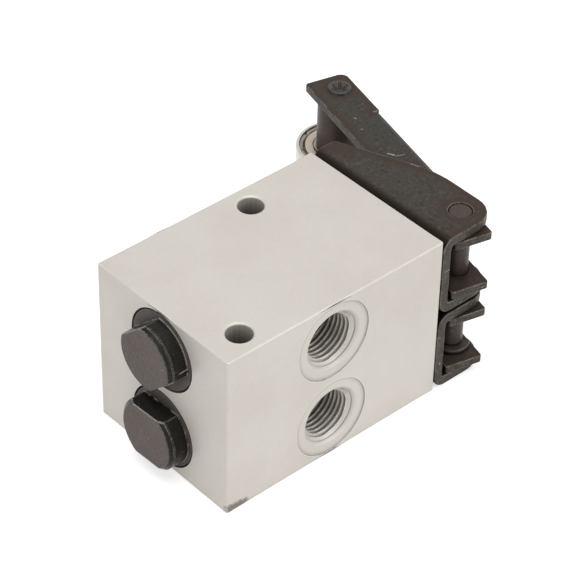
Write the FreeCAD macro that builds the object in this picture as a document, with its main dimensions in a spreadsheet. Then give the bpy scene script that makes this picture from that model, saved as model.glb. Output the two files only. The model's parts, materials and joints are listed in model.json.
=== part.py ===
"""Mechanical valve: two stacked 3/2-way poppet valves in one block, switched by one roller.

The frame, in millimetres: the origin is the centre of the block's base face, X runs along the
valve bores from the end plugs (-X) to the levers (+X), the outlet ports open to -Y, the supply
ports to +Y, and Z is up. Both valves are alike, so each piece is made once for the upper bore
and once for the lower bore, where "outward" is the side away from the other valve.
"""
import FreeCAD, Part
import math
import os
import re
import Sketcher

Vector = FreeCAD.Vector

# Driving dimensions, each written once.
SIZES = {
    # block
    "block_width": 32.0,
    "bore_web": 1.3,
    "outer_web": 0.35,
    "edge_chamfer": 0.25,
    "thread_gap": 0.05,
    "running_gap": 0.05,
    # bores, in order from the plug face
    "plug_thread_radius": 6.5,
    "plug_thread_length": 8.5,
    "plug_shoulder": 1.0,
    "plug_flange": 2.0,
    "poppet_room_gap": 0.75,
    "poppet_room_length": 7.9,
    "seat_web": 1.0,
    "seat_lip": 0.6,
    "seat_lip_wall": 0.6,
    "nose_room": 0.6,
    "spring_room_gap": 1.0,
    "spring_room_length": 9.6,
    "bush_spigot_length": 6.0,
    "bush_shoulder_width": 1.0,
    "bush_thread_length": 11.0,
    # ports
    "spotface_radius": 7.5,
    "spotface_depth": 1.0,
    "port_radius": 4.865,
    "port_chamfer": 0.185,
    "port_depth": 7.5,
    "port_passage_radius": 2.5,
    "outlet_from_seat": 2.9,
    "supply_from_thread": 2.1,
    # mounting holes
    "mount_hole_radius": 2.25,
    "mount_hole_chamfer": 0.35,
    "mount_hole_side": 4.4,
    "near_hole_from_plug_face": 6.1,
    "far_hole_from_bracket_face": 17.4,
    # end plug
    "plug_flange_gap": 0.3,
    "plug_rim": 0.7,
    "plug_boss_height": 3.6,
    "plug_boss_chamfer": 0.75,
    "plug_flats": 10.0,
    "plug_end_gap": 1.0,
    "plug_tilt_upper": 47.0,
    "plug_tilt_lower": 87.0,
    "plug_ring_wire": 0.7,
    # poppet
    "poppet_rim": 1.0,
    "poppet_head_length": 3.1,
    "poppet_stem_radius": 3.45,
    "poppet_stem_length": 7.0,
    "poppet_cup_radius": 2.5,
    "poppet_cup_depth": 5.0,
    "poppet_pocket_depth": 5.5,
    "seal_margin": 0.3,
    "seal_thickness": 1.5,
    "seal_proud": 0.25,
    # plunger
    "nose_gap": 1.0,
    "nose_radius": 2.2,
    "collar_radius": 4.0,
    "collar_length": 1.5,
    "plunger_radius": 3.0,
    "plunger_vent_radius": 1.2,
    "vent_overrun": 0.25,
    "cross_vent_radius": 1.0,
    "cross_vent_from_bush": 1.9,
    "tip_round": 6.0,
    # guide bush and rings
    "bush_nose_wall": 1.45,
    "bush_nose_proud": 0.2,
    "bush_ring_wire": 0.5,
    "bush_ring_from_end": 2.0,
    "plunger_ring_wire": 0.7,
    "plunger_ring_from_end": 8.0,
    # springs
    "poppet_spring_radius": 2.0,
    "poppet_spring_wire": 0.3,
    "poppet_spring_turns": 6.0,
    "plunger_spring_wire": 0.4,
    "plunger_spring_turns": 5.0,
    # brackets
    "bracket_sheet": 1.8,
    "bracket_bend": 2.5,
    "bracket_overhang": 0.1,
    "bracket_tip_reach": 5.2,
    "bracket_tip_round": 1.0,
    "bracket_slope": 22.5,
    "bracket_slope_round": 20.0,
    "pivot_eye_radius": 4.4,
    "pivot_reach": 8.0,
    "screw_side": 10.0,
    "screw_radius": 1.45,
    "screw_head_radius": 2.75,
    "screw_head_height": 1.35,
    "screw_length": 9.5,
    "screw_drive_flats": 2.0,
    "screw_drive_depth": 0.8,
    # pivots
    "pin_radius": 2.0,
    "clip_radius": 3.2,
    "clip_thickness": 0.6,
    "clip_groove": 0.45,
    "clip_mouth": 2.6,
    # levers
    "lever_sheet": 1.5,
    "lever_side_gap": 0.1,
    "lever_bend": 1.6,
    "lever_tilt": 14.0,
    "lever_back": 3.4,
    "back_inset": 0.25,
    "tab_lap": 0.5,
    "bend_clearance": 0.1,
    "lever_front_gap": 1.45,
    "lever_heel": 5.35,
    "heel_relief": 0.75,
    "clip_room": 0.1,
    "roller_room": 1.25,
    "tongue_past_pin": 4.0,
    "tongue_back_round": 1.5,
    "tongue_front_round": 0.5,
    "heel_round": 0.5,
    # roller: a ball bearing on the long pin
    "roller_reach": 41.5,
    "roller_radius": 7.45,
    "ring_inner_wall": 2.5,
    "ring_outer_wall": 1.25,
    "race_depth": 0.15,
    "ball_count": 9,
    "race_gap": 0.05,
    "ring_corner": 0.25,
    "shield_seat": 0.25,
    "shield_recess": 0.15,
    "shield_thickness": 0.2,
    "shield_step": 0.2,
    "shield_step_out": 0.35,
    "shield_bore_gap": 0.2,
    "cage_wall": 0.2,
    "cage_gap": 0.15,
    "cage_half_width": 0.3,
    "sleeve_radius": 3.8,
    "rivet_proud": 0.15,
}

# Sizes that follow from the ones above.
FITS = {
    "plug_seat_radius": "plug_thread_radius + plug_shoulder",
    "bore_pitch": "2 * max(plug_seat_radius; spotface_radius) + bore_web",
    "bore_to_face": "max(plug_seat_radius; spotface_radius) + outer_web",
    "block_height": "bore_pitch + 2 * bore_to_face",
    "mid_level": "block_height / 2",
    "upper_bore": "mid_level + bore_pitch / 2",
    "lower_bore": "mid_level - bore_pitch / 2",
    "plug_bore_depth": "plug_flange + plug_thread_length",
    "block_length": "plug_bore_depth + poppet_room_length + seat_web + spring_room_length"
                    " + bush_spigot_length + bush_thread_length",
    "plug_face": "-block_length / 2",
    "front_face": "block_length / 2",
    "side_face": "block_width / 2",
    "thread_end": "plug_face + plug_bore_depth",
    "seat_wall": "thread_end + poppet_room_length",
    "seat_face": "seat_wall - seat_lip",
    "spring_seat": "seat_wall + seat_web",
    "bush_end": "spring_seat + spring_room_length",
    "bush_shoulder": "bush_end + bush_spigot_length",
    "port_mouth_radius": "port_radius + port_chamfer",
    "outlet_x": "spring_seat + outlet_from_seat",
    "supply_x": "thread_end + supply_from_thread",
    "hole_y": "side_face - mount_hole_side",
    "near_hole_x": "plug_face + near_hole_from_plug_face",
    "far_hole_x": "front_face - far_hole_from_bracket_face",
    # plug
    "plug_flange_radius": "plug_seat_radius - plug_flange_gap",
    "plug_boss_radius": "plug_flange_radius - plug_rim",
    "plug_inner_end": "thread_end - plug_end_gap",
    "pocket_bottom": "plug_inner_end - poppet_pocket_depth",
    "pocket_radius": "poppet_stem_radius + running_gap",
    # seat and poppet
    "seat_radius": "nose_radius + nose_room",
    "seal_radius": "seat_radius + seat_lip_wall + seal_margin",
    "poppet_head_radius": "seal_radius + thread_gap + poppet_rim",
    "poppet_room_radius": "poppet_head_radius + poppet_room_gap",
    "seal_face": "seat_face - running_gap",
    "head_face": "seal_face - seal_proud",
    "head_back": "head_face - poppet_head_length",
    "stem_end": "head_back - poppet_stem_length",
    "cup_bottom": "stem_end + poppet_cup_depth",
    # bush and plunger
    "nose_tip": "seal_face + nose_gap",
    "bush_bore": "plunger_radius + running_gap",
    "bush_nose_radius": "bush_bore + bush_nose_wall",
    "spring_room_radius": "collar_radius + spring_room_gap",
    "bush_thread_radius": "spring_room_radius + bush_shoulder_width",
    "plunger_spring_radius": "collar_radius - plunger_spring_wire",
    "web_face": "front_face + bracket_sheet",
    "bush_nose_end": "web_face - bush_nose_proud",
    "cross_vent_x": "bush_nose_end + cross_vent_from_bush",
    "collar_front": "bush_end - running_gap",
    "collar_back": "collar_front - collar_length",
    # pivot and lever
    "pivot_x": "front_face + pivot_reach",
    "pivot_y": "-(side_face + bracket_overhang - pivot_eye_radius)",
    "lever_height": "2 * (bore_to_face - bracket_sheet - lever_side_gap)",
    "lever_inside": "lever_back - lever_sheet",
    "lever_front": "pivot_reach - bracket_sheet - lever_front_gap",
    "lever_heel_front": "lever_front - heel_relief",
    "lever_web_start": "clip_radius + clip_room",
    "lever_web_end": "roller_reach - roller_radius - roller_room",
    "tongue_end": "roller_reach + tongue_past_pin",
    "tip_centre": "pivot_x + (lever_inside - tip_round - pivot_y * sin(lever_tilt))"
                  " / cos(lever_tilt)",
    "tip_x": "tip_centre + tip_round - running_gap",
    "roller_x": "pivot_x + roller_reach * sin(lever_tilt)",
    "roller_y": "pivot_y + roller_reach * cos(lever_tilt)",
    # bearing
    "ring_bore": "pin_radius + thread_gap / 2",
    "inner_ring_radius": "pin_radius + ring_inner_wall",
    "outer_ring_bore": "roller_radius - ring_outer_wall",
    "ball_circle": "(inner_ring_radius + outer_ring_bore) / 2",
    "ball_radius": "(outer_ring_bore - inner_ring_radius) / 2 + race_depth",
    "race_radius": "ball_radius + race_gap",
    "shield_step_radius": "ball_circle + shield_step_out",
    "cage_half_height": "race_radius + cage_wall",
    "shield_shoulder": "cage_half_height + cage_gap",
    "roller_width": "2 * (shield_shoulder + running_gap + shield_step + shield_thickness"
                    " + shield_recess)",
}


def cells(text):
    """The same expression with each name pointed at the sheet or at the fitted sizes."""
    def place(match):
        word = match.group(0)
        if word in SIZES:
            return "Sizes." + word
        if word in FITS:
            return "Fits." + word
        return word
    return re.sub(r"[a-z_]+", place, str(text))


def number(text):
    """The present value of an expression, in millimetres or degrees."""
    found = fits.evalExpression(cells(text))
    return float(getattr(found, "Value", found))


def bind(thing, prop, text):
    """Tie a property to an expression in the named sizes."""
    thing.setExpression(prop, cells(text))


def new_body(label, level="0"):
    """A body whose height over the base follows a named level."""
    body = doc.addObject("PartDesign::Body", label)
    body.Label = label
    bind(body, "Placement.Base.z", level)
    return body


def plane_of(body, role):
    """The body's own origin plane with this role."""
    return next(item for item in body.Origin.OriginFeatures if item.Role == role)


def new_sketch(body, name, plane, lift, shift):
    """An empty sketch on an origin plane, lifted along its normal and shifted within it."""
    sketch = body.newObject("Sketcher::SketchObject", body.Label + "_" + name)
    sketch.AttachmentSupport = [(plane_of(body, plane), "")]
    sketch.MapMode = "FlatFace"
    bind(sketch, "AttachmentOffset.Base.x", shift[0])
    bind(sketch, "AttachmentOffset.Base.y", shift[1])
    bind(sketch, "AttachmentOffset.Base.z", lift)
    return sketch


def hold_point(sketch, geometry, end, name, point):
    """Fix one sketch point by its two distances from the sketch's origin."""
    for kind, text in zip(("DistanceX", "DistanceY"), point):
        rule = Sketcher.Constraint(kind, -1, 1, geometry, end, number(text))
        place = sketch.addConstraint(rule)
        label = name + kind[-1].lower()
        sketch.renameConstraint(place, label)
        bind(sketch, "Constraints." + label, text)


def arc_between(start, end, radius):
    """A counter-clockwise arc of this radius from start to end, the shorter way."""
    chord = end - start
    middle = (start + end) / 2
    rise = math.sqrt(max(radius ** 2 - (chord.Length / 2) ** 2, 0.0))
    left = Vector(-chord.y, chord.x, 0).normalize()
    centre = middle + left * rise
    first = math.atan2(start.y - centre.y, start.x - centre.x)
    last = math.atan2(end.y - centre.y, end.x - centre.x)
    return Part.ArcOfCircle(Part.Circle(centre, Vector(0, 0, 1), radius), first, last)


def outline(body, name, points, plane="XY_Plane", lift="0", shift=("0", "0"), arcs=None):
    """A closed outline through the points, given counter-clockwise where it has arcs.

    arcs maps the number of a side to the radius of the arc that takes its place.
    """
    arcs = arcs or {}
    sketch = new_sketch(body, name, plane, lift, shift)
    places = [Vector(number(x), number(y), 0) for x, y in points]
    count = len(places)
    for i, start in enumerate(places):
        end = places[(i + 1) % count]
        if i in arcs:
            sketch.addGeometry(arc_between(start, end, number(arcs[i])))
        else:
            sketch.addGeometry(Part.LineSegment(start, end))
    for i in range(count):
        sketch.addConstraint(Sketcher.Constraint("Coincident", i, 2, (i + 1) % count, 1))
    for i, point in enumerate(points):
        hold_point(sketch, i, 1, "p%d" % i, point)
    for i, text in arcs.items():
        place = sketch.addConstraint(Sketcher.Constraint("Radius", i, number(text)))
        sketch.renameConstraint(place, "r%d" % i)
        bind(sketch, "Constraints.r%d" % i, text)
    return sketch


def circle(body, name, centre, radius, plane="XY_Plane", lift="0"):
    """A round outline held at its centre."""
    sketch = new_sketch(body, name, plane, lift, centre)
    sketch.addGeometry(Part.Circle(Vector(0, 0, 0), Vector(0, 0, 1), number(radius)))
    sketch.addConstraint(Sketcher.Constraint("Coincident", 0, 3, -1, 1))
    place = sketch.addConstraint(Sketcher.Constraint("Radius", 0, number(radius)))
    sketch.renameConstraint(place, "radius")
    bind(sketch, "Constraints.radius", radius)
    return sketch


def pad(body, sketch, length):
    """Extrude an outline along the normal of its plane."""
    feature = body.newObject("PartDesign::Pad", sketch.Label + "_pad")
    feature.Profile = sketch
    bind(feature, "Length", length)
    sketch.Visibility = False
    return feature


def check_cut(body, before, feature):
    """A cut that takes nothing away points the wrong way."""
    doc.recompute()
    if not body.Shape.Volume < before - 1e-6:
        raise ValueError(feature.Label + " cuts nothing")


def pocket(body, sketch, length, against=False):
    """Cut an outline's prism against the normal of its plane, or along it."""
    doc.recompute()
    before = body.Shape.Volume
    feature = body.newObject("PartDesign::Pocket", sketch.Label + "_pocket")
    feature.Profile = sketch
    feature.Reversed = against
    bind(feature, "Length", length)
    check_cut(body, before, feature)
    return feature


def turn(body, sketch, axis="H_Axis"):
    """Revolve an outline round its sketch's own axis."""
    feature = body.newObject("PartDesign::Revolution", sketch.Label + "_turn")
    feature.Profile = sketch
    feature.ReferenceAxis = (sketch, [axis])
    feature.Angle = 360
    return feature


def groove(body, sketch, axis="H_Axis"):
    """Cut an outline turned round its sketch's own axis."""
    doc.recompute()
    before = body.Shape.Volume
    feature = body.newObject("PartDesign::Groove", sketch.Label + "_groove")
    feature.Profile = sketch
    feature.ReferenceAxis = (sketch, [axis])
    feature.Angle = 360
    check_cut(body, before, feature)
    return feature


def dress(body, kind, name, size, wanted):
    """Round or chamfer the edges of the body that a test picks."""
    doc.recompute()
    base = body.Tip
    names = ["Edge%d" % (i + 1) for i, edge in enumerate(base.Shape.Edges) if wanted(edge)]
    if not names:
        raise ValueError("no edges for " + name)
    feature = body.newObject("PartDesign::" + kind, body.Label + "_" + name)
    feature.Base = (base, names)
    bind(feature, "Radius" if kind == "Fillet" else "Size", size)
    doc.recompute()
    return feature


def near(a, b):
    """Equal to a hundredth of a micrometre."""
    return abs(a - b) < 1e-5


def along(edge, axis):
    """Whether an edge is straight and runs along X, Y or Z (0, 1 or 2)."""
    if not isinstance(edge.Curve, (Part.Line, Part.LineSegment)):
        return False
    way = edge.Vertexes[-1].Point - edge.Vertexes[0].Point
    return near(abs(way[axis]), way.Length)


def at(edge, **places):
    """Whether the edge's middle lies at the given x, y or z."""
    middle = edge.CenterOfMass
    return all(near(getattr(middle, key), value) for key, value in places.items())


def valve_body():
    """The block: two stepped bores, four ports, two mounting holes and four tapped holes."""
    body = new_body("valve_body")
    base = outline(body, "base", [
        ("plug_face", "-side_face"), ("front_face", "-side_face"),
        ("front_face", "side_face"), ("plug_face", "side_face")])
    pad(body, base, "block_height")
    dress(body, "Chamfer", "edges", "edge_chamfer", lambda edge: True)
    for side in ("upper", "lower"):
        bore = side + "_bore"
        # The stepped bore, from the plug's counterbore through the seat to the bush's thread.
        profile = outline(body, bore, [
            ("plug_face - 1", "0"), ("front_face + 1", "0"),
            ("front_face + 1", "bush_thread_radius"), ("bush_shoulder", "bush_thread_radius"),
            ("bush_shoulder", "spring_room_radius"), ("spring_seat", "spring_room_radius"),
            ("spring_seat", "seat_radius"), ("seat_face", "seat_radius"),
            ("seat_face", "seat_radius + seat_lip_wall"),
            ("seat_wall", "seat_radius + seat_lip_wall"),
            ("seat_wall", "poppet_room_radius"), ("thread_end", "poppet_room_radius"),
            ("thread_end", "plug_thread_radius"),
            ("plug_face + plug_flange", "plug_thread_radius"),
            ("plug_face + plug_flange", "plug_seat_radius"),
            ("plug_face - 1", "plug_seat_radius")], lift=bore)
        groove(body, profile)
        # The outlet opens to -Y and the supply to +Y, each spotfaced, drilled and passed through.
        for port, middle, way in (("outlet", "outlet_x", "-"), ("supply", "supply_x", "")):
            depth = [way + "(side_face %s)" % text for text in (
                "+ 1", "- spotface_depth", "- spotface_depth - port_mouth_radius + port_radius",
                "- spotface_depth - port_depth",
                "- spotface_depth - port_depth - (port_radius - port_passage_radius) * 0.6")]
            profile = outline(body, side + "_" + port, [
                ("0", depth[0]), ("spotface_radius", depth[0]), ("spotface_radius", depth[1]),
                ("port_mouth_radius", depth[1]), ("port_radius", depth[2]),
                ("port_radius", depth[3]), ("port_passage_radius", depth[4]),
                ("port_passage_radius", "0"), ("0", "0")],
                lift=bore, shift=(middle, "0"))
            groove(body, profile, "V_Axis")
        for mark, way in (("near", "-"), ("far", "")):
            profile = outline(body, side + "_screw_hole_" + mark, [
                ("front_face - screw_length - 1", "0"), ("front_face + 1", "0"),
                ("front_face + 1", "screw_radius + thread_gap"),
                ("front_face - screw_length", "screw_radius + thread_gap")],
                lift=bore, shift=("0", way + "screw_side"))
            groove(body, profile)
    for mark, middle, way in (("near", "near_hole_x", ""), ("far", "far_hole_x", "-")):
        # The sketch's normal is -Y, so a lift towards +Y is negative.
        profile = outline(body, mark + "_mount_hole", [
            ("0", "-1"), ("mount_hole_radius + mount_hole_chamfer + 1", "-1"),
            ("mount_hole_radius", "mount_hole_chamfer"),
            ("mount_hole_radius", "block_height - mount_hole_chamfer"),
            ("mount_hole_radius + mount_hole_chamfer + 1", "block_height + 1"),
            ("0", "block_height + 1")],
            plane="XZ_Plane", lift=way + "hole_y", shift=(middle, "0"))
        groove(body, profile, "V_Axis")
    return body


def end_plug(side, bore):
    """A turned plug: boss with two flats, flange in the counterbore, threaded cup inside."""
    body = new_body("end_plug_" + side, bore)
    body.Placement.Rotation = FreeCAD.Rotation(Vector(1, 0, 0), number("plug_tilt_" + side))
    bind(body, "Placement.Rotation.Angle", "plug_tilt_" + side)
    thread = "plug_thread_radius - thread_gap"
    groove_back = "plug_face + plug_flange + 2 * plug_ring_wire + 0.4"
    groove_root = "plug_thread_radius - 2 * plug_ring_wire - thread_gap"
    profile = outline(body, "profile", [
        ("plug_face - plug_boss_height", "0"), ("pocket_bottom", "0"),
        ("pocket_bottom", "pocket_radius"), ("plug_inner_end", "pocket_radius"),
        ("plug_inner_end", thread), (groove_back, thread), (groove_back, groove_root),
        ("plug_face + plug_flange", groove_root), ("plug_face + plug_flange", "plug_flange_radius"),
        ("plug_face", "plug_flange_radius"), ("plug_face", "plug_boss_radius"),
        ("plug_face - plug_boss_height + plug_boss_chamfer", "plug_boss_radius"),
        ("plug_face - plug_boss_height", "plug_boss_radius - plug_boss_chamfer")])
    turn(body, profile)
    for mark, way in (("front", "-"), ("back", "")):
        flat = outline(body, "flat_" + mark, [
            (way + "plug_flats / 2", "-plug_boss_radius - 1"),
            (way + "(plug_boss_radius + 1)", "-plug_boss_radius - 1"),
            (way + "(plug_boss_radius + 1)", "plug_boss_radius + 1"),
            (way + "plug_flats / 2", "plug_boss_radius + 1")],
            plane="YZ_Plane", lift="plug_face")
        pocket(body, flat, "plug_boss_height + 1", against=True)
    return body


def ring_seal(label, bore, middle, wire, reach):
    """A rubber ring, or torus, round the bore; reach is the radius of its centre line."""
    ring = doc.addObject("Part::Torus", label)
    ring.Label = label
    bind(ring, "Radius1", reach)
    bind(ring, "Radius2", wire)
    ring.Placement = FreeCAD.Placement(Vector(0, 0, 0), FreeCAD.Rotation(Vector(0, 1, 0), 90))
    bind(ring, "Placement.Base.x", middle)
    bind(ring, "Placement.Base.z", bore)
    return ring


def poppet(side, bore):
    """A brass poppet: cup stem that slides in the plug, head with a recess for the seal."""
    body = new_body("poppet_" + side, bore)
    profile = outline(body, "profile", [
        ("cup_bottom", "0"), ("head_face - seal_thickness + seal_proud", "0"),
        ("head_face - seal_thickness + seal_proud", "seal_radius + thread_gap"),
        ("head_face", "seal_radius + thread_gap"), ("head_face", "poppet_head_radius"),
        ("head_back", "poppet_head_radius"), ("head_back", "poppet_stem_radius"),
        ("stem_end", "poppet_stem_radius"), ("stem_end", "poppet_cup_radius"),
        ("cup_bottom", "poppet_cup_radius")])
    turn(body, profile)
    return body


def poppet_seal(side, bore):
    """The rubber disc bonded into the poppet's head."""
    body = new_body("poppet_seal_" + side, bore)
    back = "seal_face - seal_thickness"
    profile = outline(body, "profile", [
        (back, "0"), ("seal_face", "0"), ("seal_face", "seal_radius"), (back, "seal_radius")])
    turn(body, profile)
    return body


def plunger(side, bore):
    """A hollow plunger: nose, collar, ground guide, cross vent and domed tip."""
    body = new_body("plunger_" + side, bore)
    shoulder = "tip_x - tip_round + sqrt(tip_round ^ 2 - plunger_radius ^ 2)"
    vent_end = "cross_vent_x + vent_overrun"
    profile = outline(body, "profile", [
        ("nose_tip", "plunger_vent_radius"), (vent_end, "plunger_vent_radius"),
        (vent_end + " + plunger_vent_radius * 0.6", "0"), ("tip_x", "0"),
        (shoulder, "plunger_radius"), ("collar_front", "plunger_radius"),
        ("collar_front", "collar_radius"), ("collar_back", "collar_radius"),
        ("collar_back", "nose_radius"), ("nose_tip", "nose_radius")],
        arcs={3: "tip_round"})
    turn(body, profile)
    vent = circle(body, "vent", ("cross_vent_x", "0"), "cross_vent_radius",
                  lift="plunger_radius + 1")
    pocket(body, vent, "2 * plunger_radius + 2")
    return body


def guide_bush(side, bore):
    """The screwed-in bush: spigot with a ring groove, thread, nose, and the plunger's bore."""
    body = new_body("guide_bush_" + side, bore)
    spigot = "spring_room_radius - running_gap"
    root = "spring_room_radius - 2 * bush_ring_wire - 0.04"
    ring_start = "bush_end + bush_ring_from_end"
    ring_end = ring_start + " + 2 * bush_ring_wire + 0.4"
    seal_start = "bush_end + plunger_ring_from_end"
    seal_end = seal_start + " + 2 * plunger_ring_wire + 0.3"
    seal_root = "bush_bore + 2 * plunger_ring_wire + 0.04"
    profile = outline(body, "profile", [
        ("bush_end", "bush_bore"), (seal_start, "bush_bore"), (seal_start, seal_root),
        (seal_end, seal_root), (seal_end, "bush_bore"), ("bush_nose_end", "bush_bore"),
        ("bush_nose_end", "bush_nose_radius"), ("front_face", "bush_nose_radius"),
        ("front_face", "bush_thread_radius - thread_gap"),
        ("bush_shoulder", "bush_thread_radius - thread_gap"), ("bush_shoulder", spigot),
        (ring_end, spigot), (ring_end, root), (ring_start, root), (ring_start, spigot),
        ("bush_end", spigot)])
    turn(body, profile)
    return body


def coil_spring(label, bore, start, end, radius, wire, turns):
    """A helical spring of round wire between two seats, clear of them by the wire's radius."""
    body = new_body(label, bore)
    gap = "running_gap"
    first = "%s + %s + %s" % (start, wire, gap)
    sketch = circle(body, "wire", (first, radius), wire)
    # The helix runs along the body's X axis from the first turn to the last.
    coil = body.newObject("PartDesign::AdditiveHelix", label + "_coil")
    coil.Profile = sketch
    coil.ReferenceAxis = (plane_of(body, "X_Axis"), [""])
    coil.Mode = "height-turns-angle"
    bind(coil, "Height", "%s - (%s) - 2 * (%s + %s)" % (end, start, wire, gap))
    bind(coil, "Turns", turns)
    return body


def bracket(side, bore):
    """A C-shaped bracket: a web on the block and two arms that carry the pivot pin."""
    body = new_body("bracket_" + side, bore)
    edge_x = number("pivot_x + pivot_eye_radius")
    tip_x = number("front_face + bracket_tip_reach")
    half = number("bore_to_face")
    inner = number("bore_to_face - bracket_sheet")
    bottom = "-(side_face + bracket_overhang)"
    reach = "pivot_x + pivot_eye_radius"
    tip = "front_face + bracket_tip_reach"
    corner = "side_face - (%s - (%s)) / tan(bracket_slope)" % (reach, tip)
    plate = outline(body, "plate", [
        ("front_face", bottom), (reach, bottom), (reach, corner), (tip, "side_face"),
        ("front_face", "side_face")], lift="-bore_to_face")
    pad(body, plate, "2 * bore_to_face")
    channel = outline(body, "channel", [
        ("web_face", bottom + " - 1"), (reach + " + 1", bottom + " - 1"),
        (reach + " + 1", "side_face + 1"), ("web_face", "side_face + 1")],
        lift="bore_to_face - bracket_sheet")
    pocket(body, channel, "2 * (bore_to_face - bracket_sheet)")
    front = number("front_face")
    web = number("web_face")
    dress(body, "Fillet", "outer_bends", "bracket_bend",
          lambda edge: along(edge, 1) and near(edge.CenterOfMass.x, front)
          and near(abs(edge.CenterOfMass.z), half))
    dress(body, "Fillet", "inner_bends", "bracket_bend - bracket_sheet",
          lambda edge: along(edge, 1) and near(edge.CenterOfMass.x, web)
          and near(abs(edge.CenterOfMass.z), inner))
    dress(body, "Fillet", "eye", "pivot_eye_radius",
          lambda edge: along(edge, 2) and at(edge, x=edge_x, y=number(bottom)))
    dress(body, "Fillet", "slope", "bracket_slope_round",
          lambda edge: along(edge, 2) and at(edge, x=edge_x, y=number(corner)))
    dress(body, "Fillet", "tip", "bracket_tip_round",
          lambda edge: along(edge, 2) and at(edge, x=tip_x, y=number("side_face")))
    pivot = circle(body, "pivot_hole", ("pivot_x", "pivot_y"), "pin_radius + running_gap",
                   lift="bore_to_face + 1")
    pocket(body, pivot, "2 * bore_to_face + 2")
    nose = circle(body, "nose_hole", ("0", "0"), "bush_nose_radius + running_gap",
                  plane="YZ_Plane", lift="web_face + 1")
    pocket(body, nose, "bracket_sheet + 2")
    for mark, way in (("near", "-"), ("far", "")):
        profile = outline(body, "screw_hole_" + mark, [
            ("front_face - 1", "0"), ("web_face + 1", "0"),
            ("web_face + 1", "screw_head_radius + running_gap + 1"),
            ("web_face", "screw_head_radius + running_gap"),
            ("web_face - screw_head_height - running_gap", "screw_radius + thread_gap"),
            ("front_face - 1", "screw_radius + thread_gap")],
            shift=("0", way + "screw_side"))
        groove(body, profile)
    return body


def bracket_screws():
    """Four countersunk screws with hexagon drives, two in each bracket's web."""
    screws = []
    for side in ("upper", "lower"):
        for mark, way in (("near", "-"), ("far", "")):
            body = new_body("screw_%s_%s" % (side, mark), side + "_bore")
            bind(body, "Placement.Base.y", way + "screw_side")
            top = "web_face - running_gap"
            profile = outline(body, "profile", [
                ("front_face - screw_length + 1", "0"), (top, "0"),
                (top, "screw_head_radius"), (top + " - screw_head_height", "screw_radius"),
                ("front_face - screw_length + 1", "screw_radius")])
            turn(body, profile)
            half = "screw_drive_flats / 2"
            long = "screw_drive_flats / sqrt(3)"
            drive = outline(body, "drive", [
                (half, long + " / 2"), ("0", long), ("-" + half, long + " / 2"),
                ("-" + half, "-" + long + " / 2"), ("0", "-" + long),
                (half, "-" + long + " / 2")], plane="YZ_Plane", lift=top)
            pocket(body, drive, "screw_drive_depth")
            screws.append(body)
    group = doc.addObject("Part::Compound", "bracket_screws")
    group.Label = "bracket_screws"
    group.Links = screws
    return group


def pivot_pin(side, bore, outward):
    """A pin through bracket and lever with a groove for its clip."""
    body = new_body("pivot_pin_" + side, bore)
    bind(body, "Placement.Base.x", "pivot_x")
    bind(body, "Placement.Base.y", "pivot_y")
    middle = "(lever_height / 2 - lever_sheet - running_gap - lever_side_gap"
    upper = outward + middle + ")"
    lower = outward + middle + " - clip_thickness - 2 * running_gap)"
    low, high = (lower, upper) if outward == "" else (upper, lower)
    profile = outline(body, "profile", [
        ("0", "-bore_to_face"), ("pin_radius - 0.2", "-bore_to_face"),
        ("pin_radius", "-bore_to_face + 0.2"), ("pin_radius", low),
        ("pin_radius - clip_groove", low), ("pin_radius - clip_groove", high),
        ("pin_radius", high), ("pin_radius", "bore_to_face - 0.2"),
        ("pin_radius - 0.2", "bore_to_face"), ("0", "bore_to_face")], plane="XZ_Plane")
    turn(body, profile, "V_Axis")
    return body


def pivot_clip(side, bore, outward):
    """An open retaining clip in the pin's groove, inside the lever beside its outer arm."""
    body = new_body("pivot_clip_" + side, bore)
    bind(body, "Placement.Base.x", "pivot_x")
    bind(body, "Placement.Base.y", "pivot_y")
    outer_face = "(lever_height / 2 - lever_sheet - 2 * running_gap - lever_side_gap"
    if outward == "":
        low = outer_face + " - clip_thickness)"
    else:
        low = "-" + outer_face + ")"
    disc = circle(body, "disc", ("0", "0"), "clip_radius", lift=low)
    pad(body, disc, "clip_thickness")
    eye = circle(body, "eye", ("0", "0"), "pin_radius - clip_groove + thread_gap",
                 lift=low + " + clip_thickness + 1")
    pocket(body, eye, "clip_thickness + 2")
    mouth = outline(body, "mouth", [
        ("0", "-clip_mouth / 2"), ("clip_radius + 1", "-clip_mouth / 2"),
        ("clip_radius + 1", "clip_mouth / 2"), ("0", "clip_mouth / 2")],
        lift=low + " + clip_thickness + 1")
    pocket(body, mouth, "clip_thickness + 2")
    return body


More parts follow.
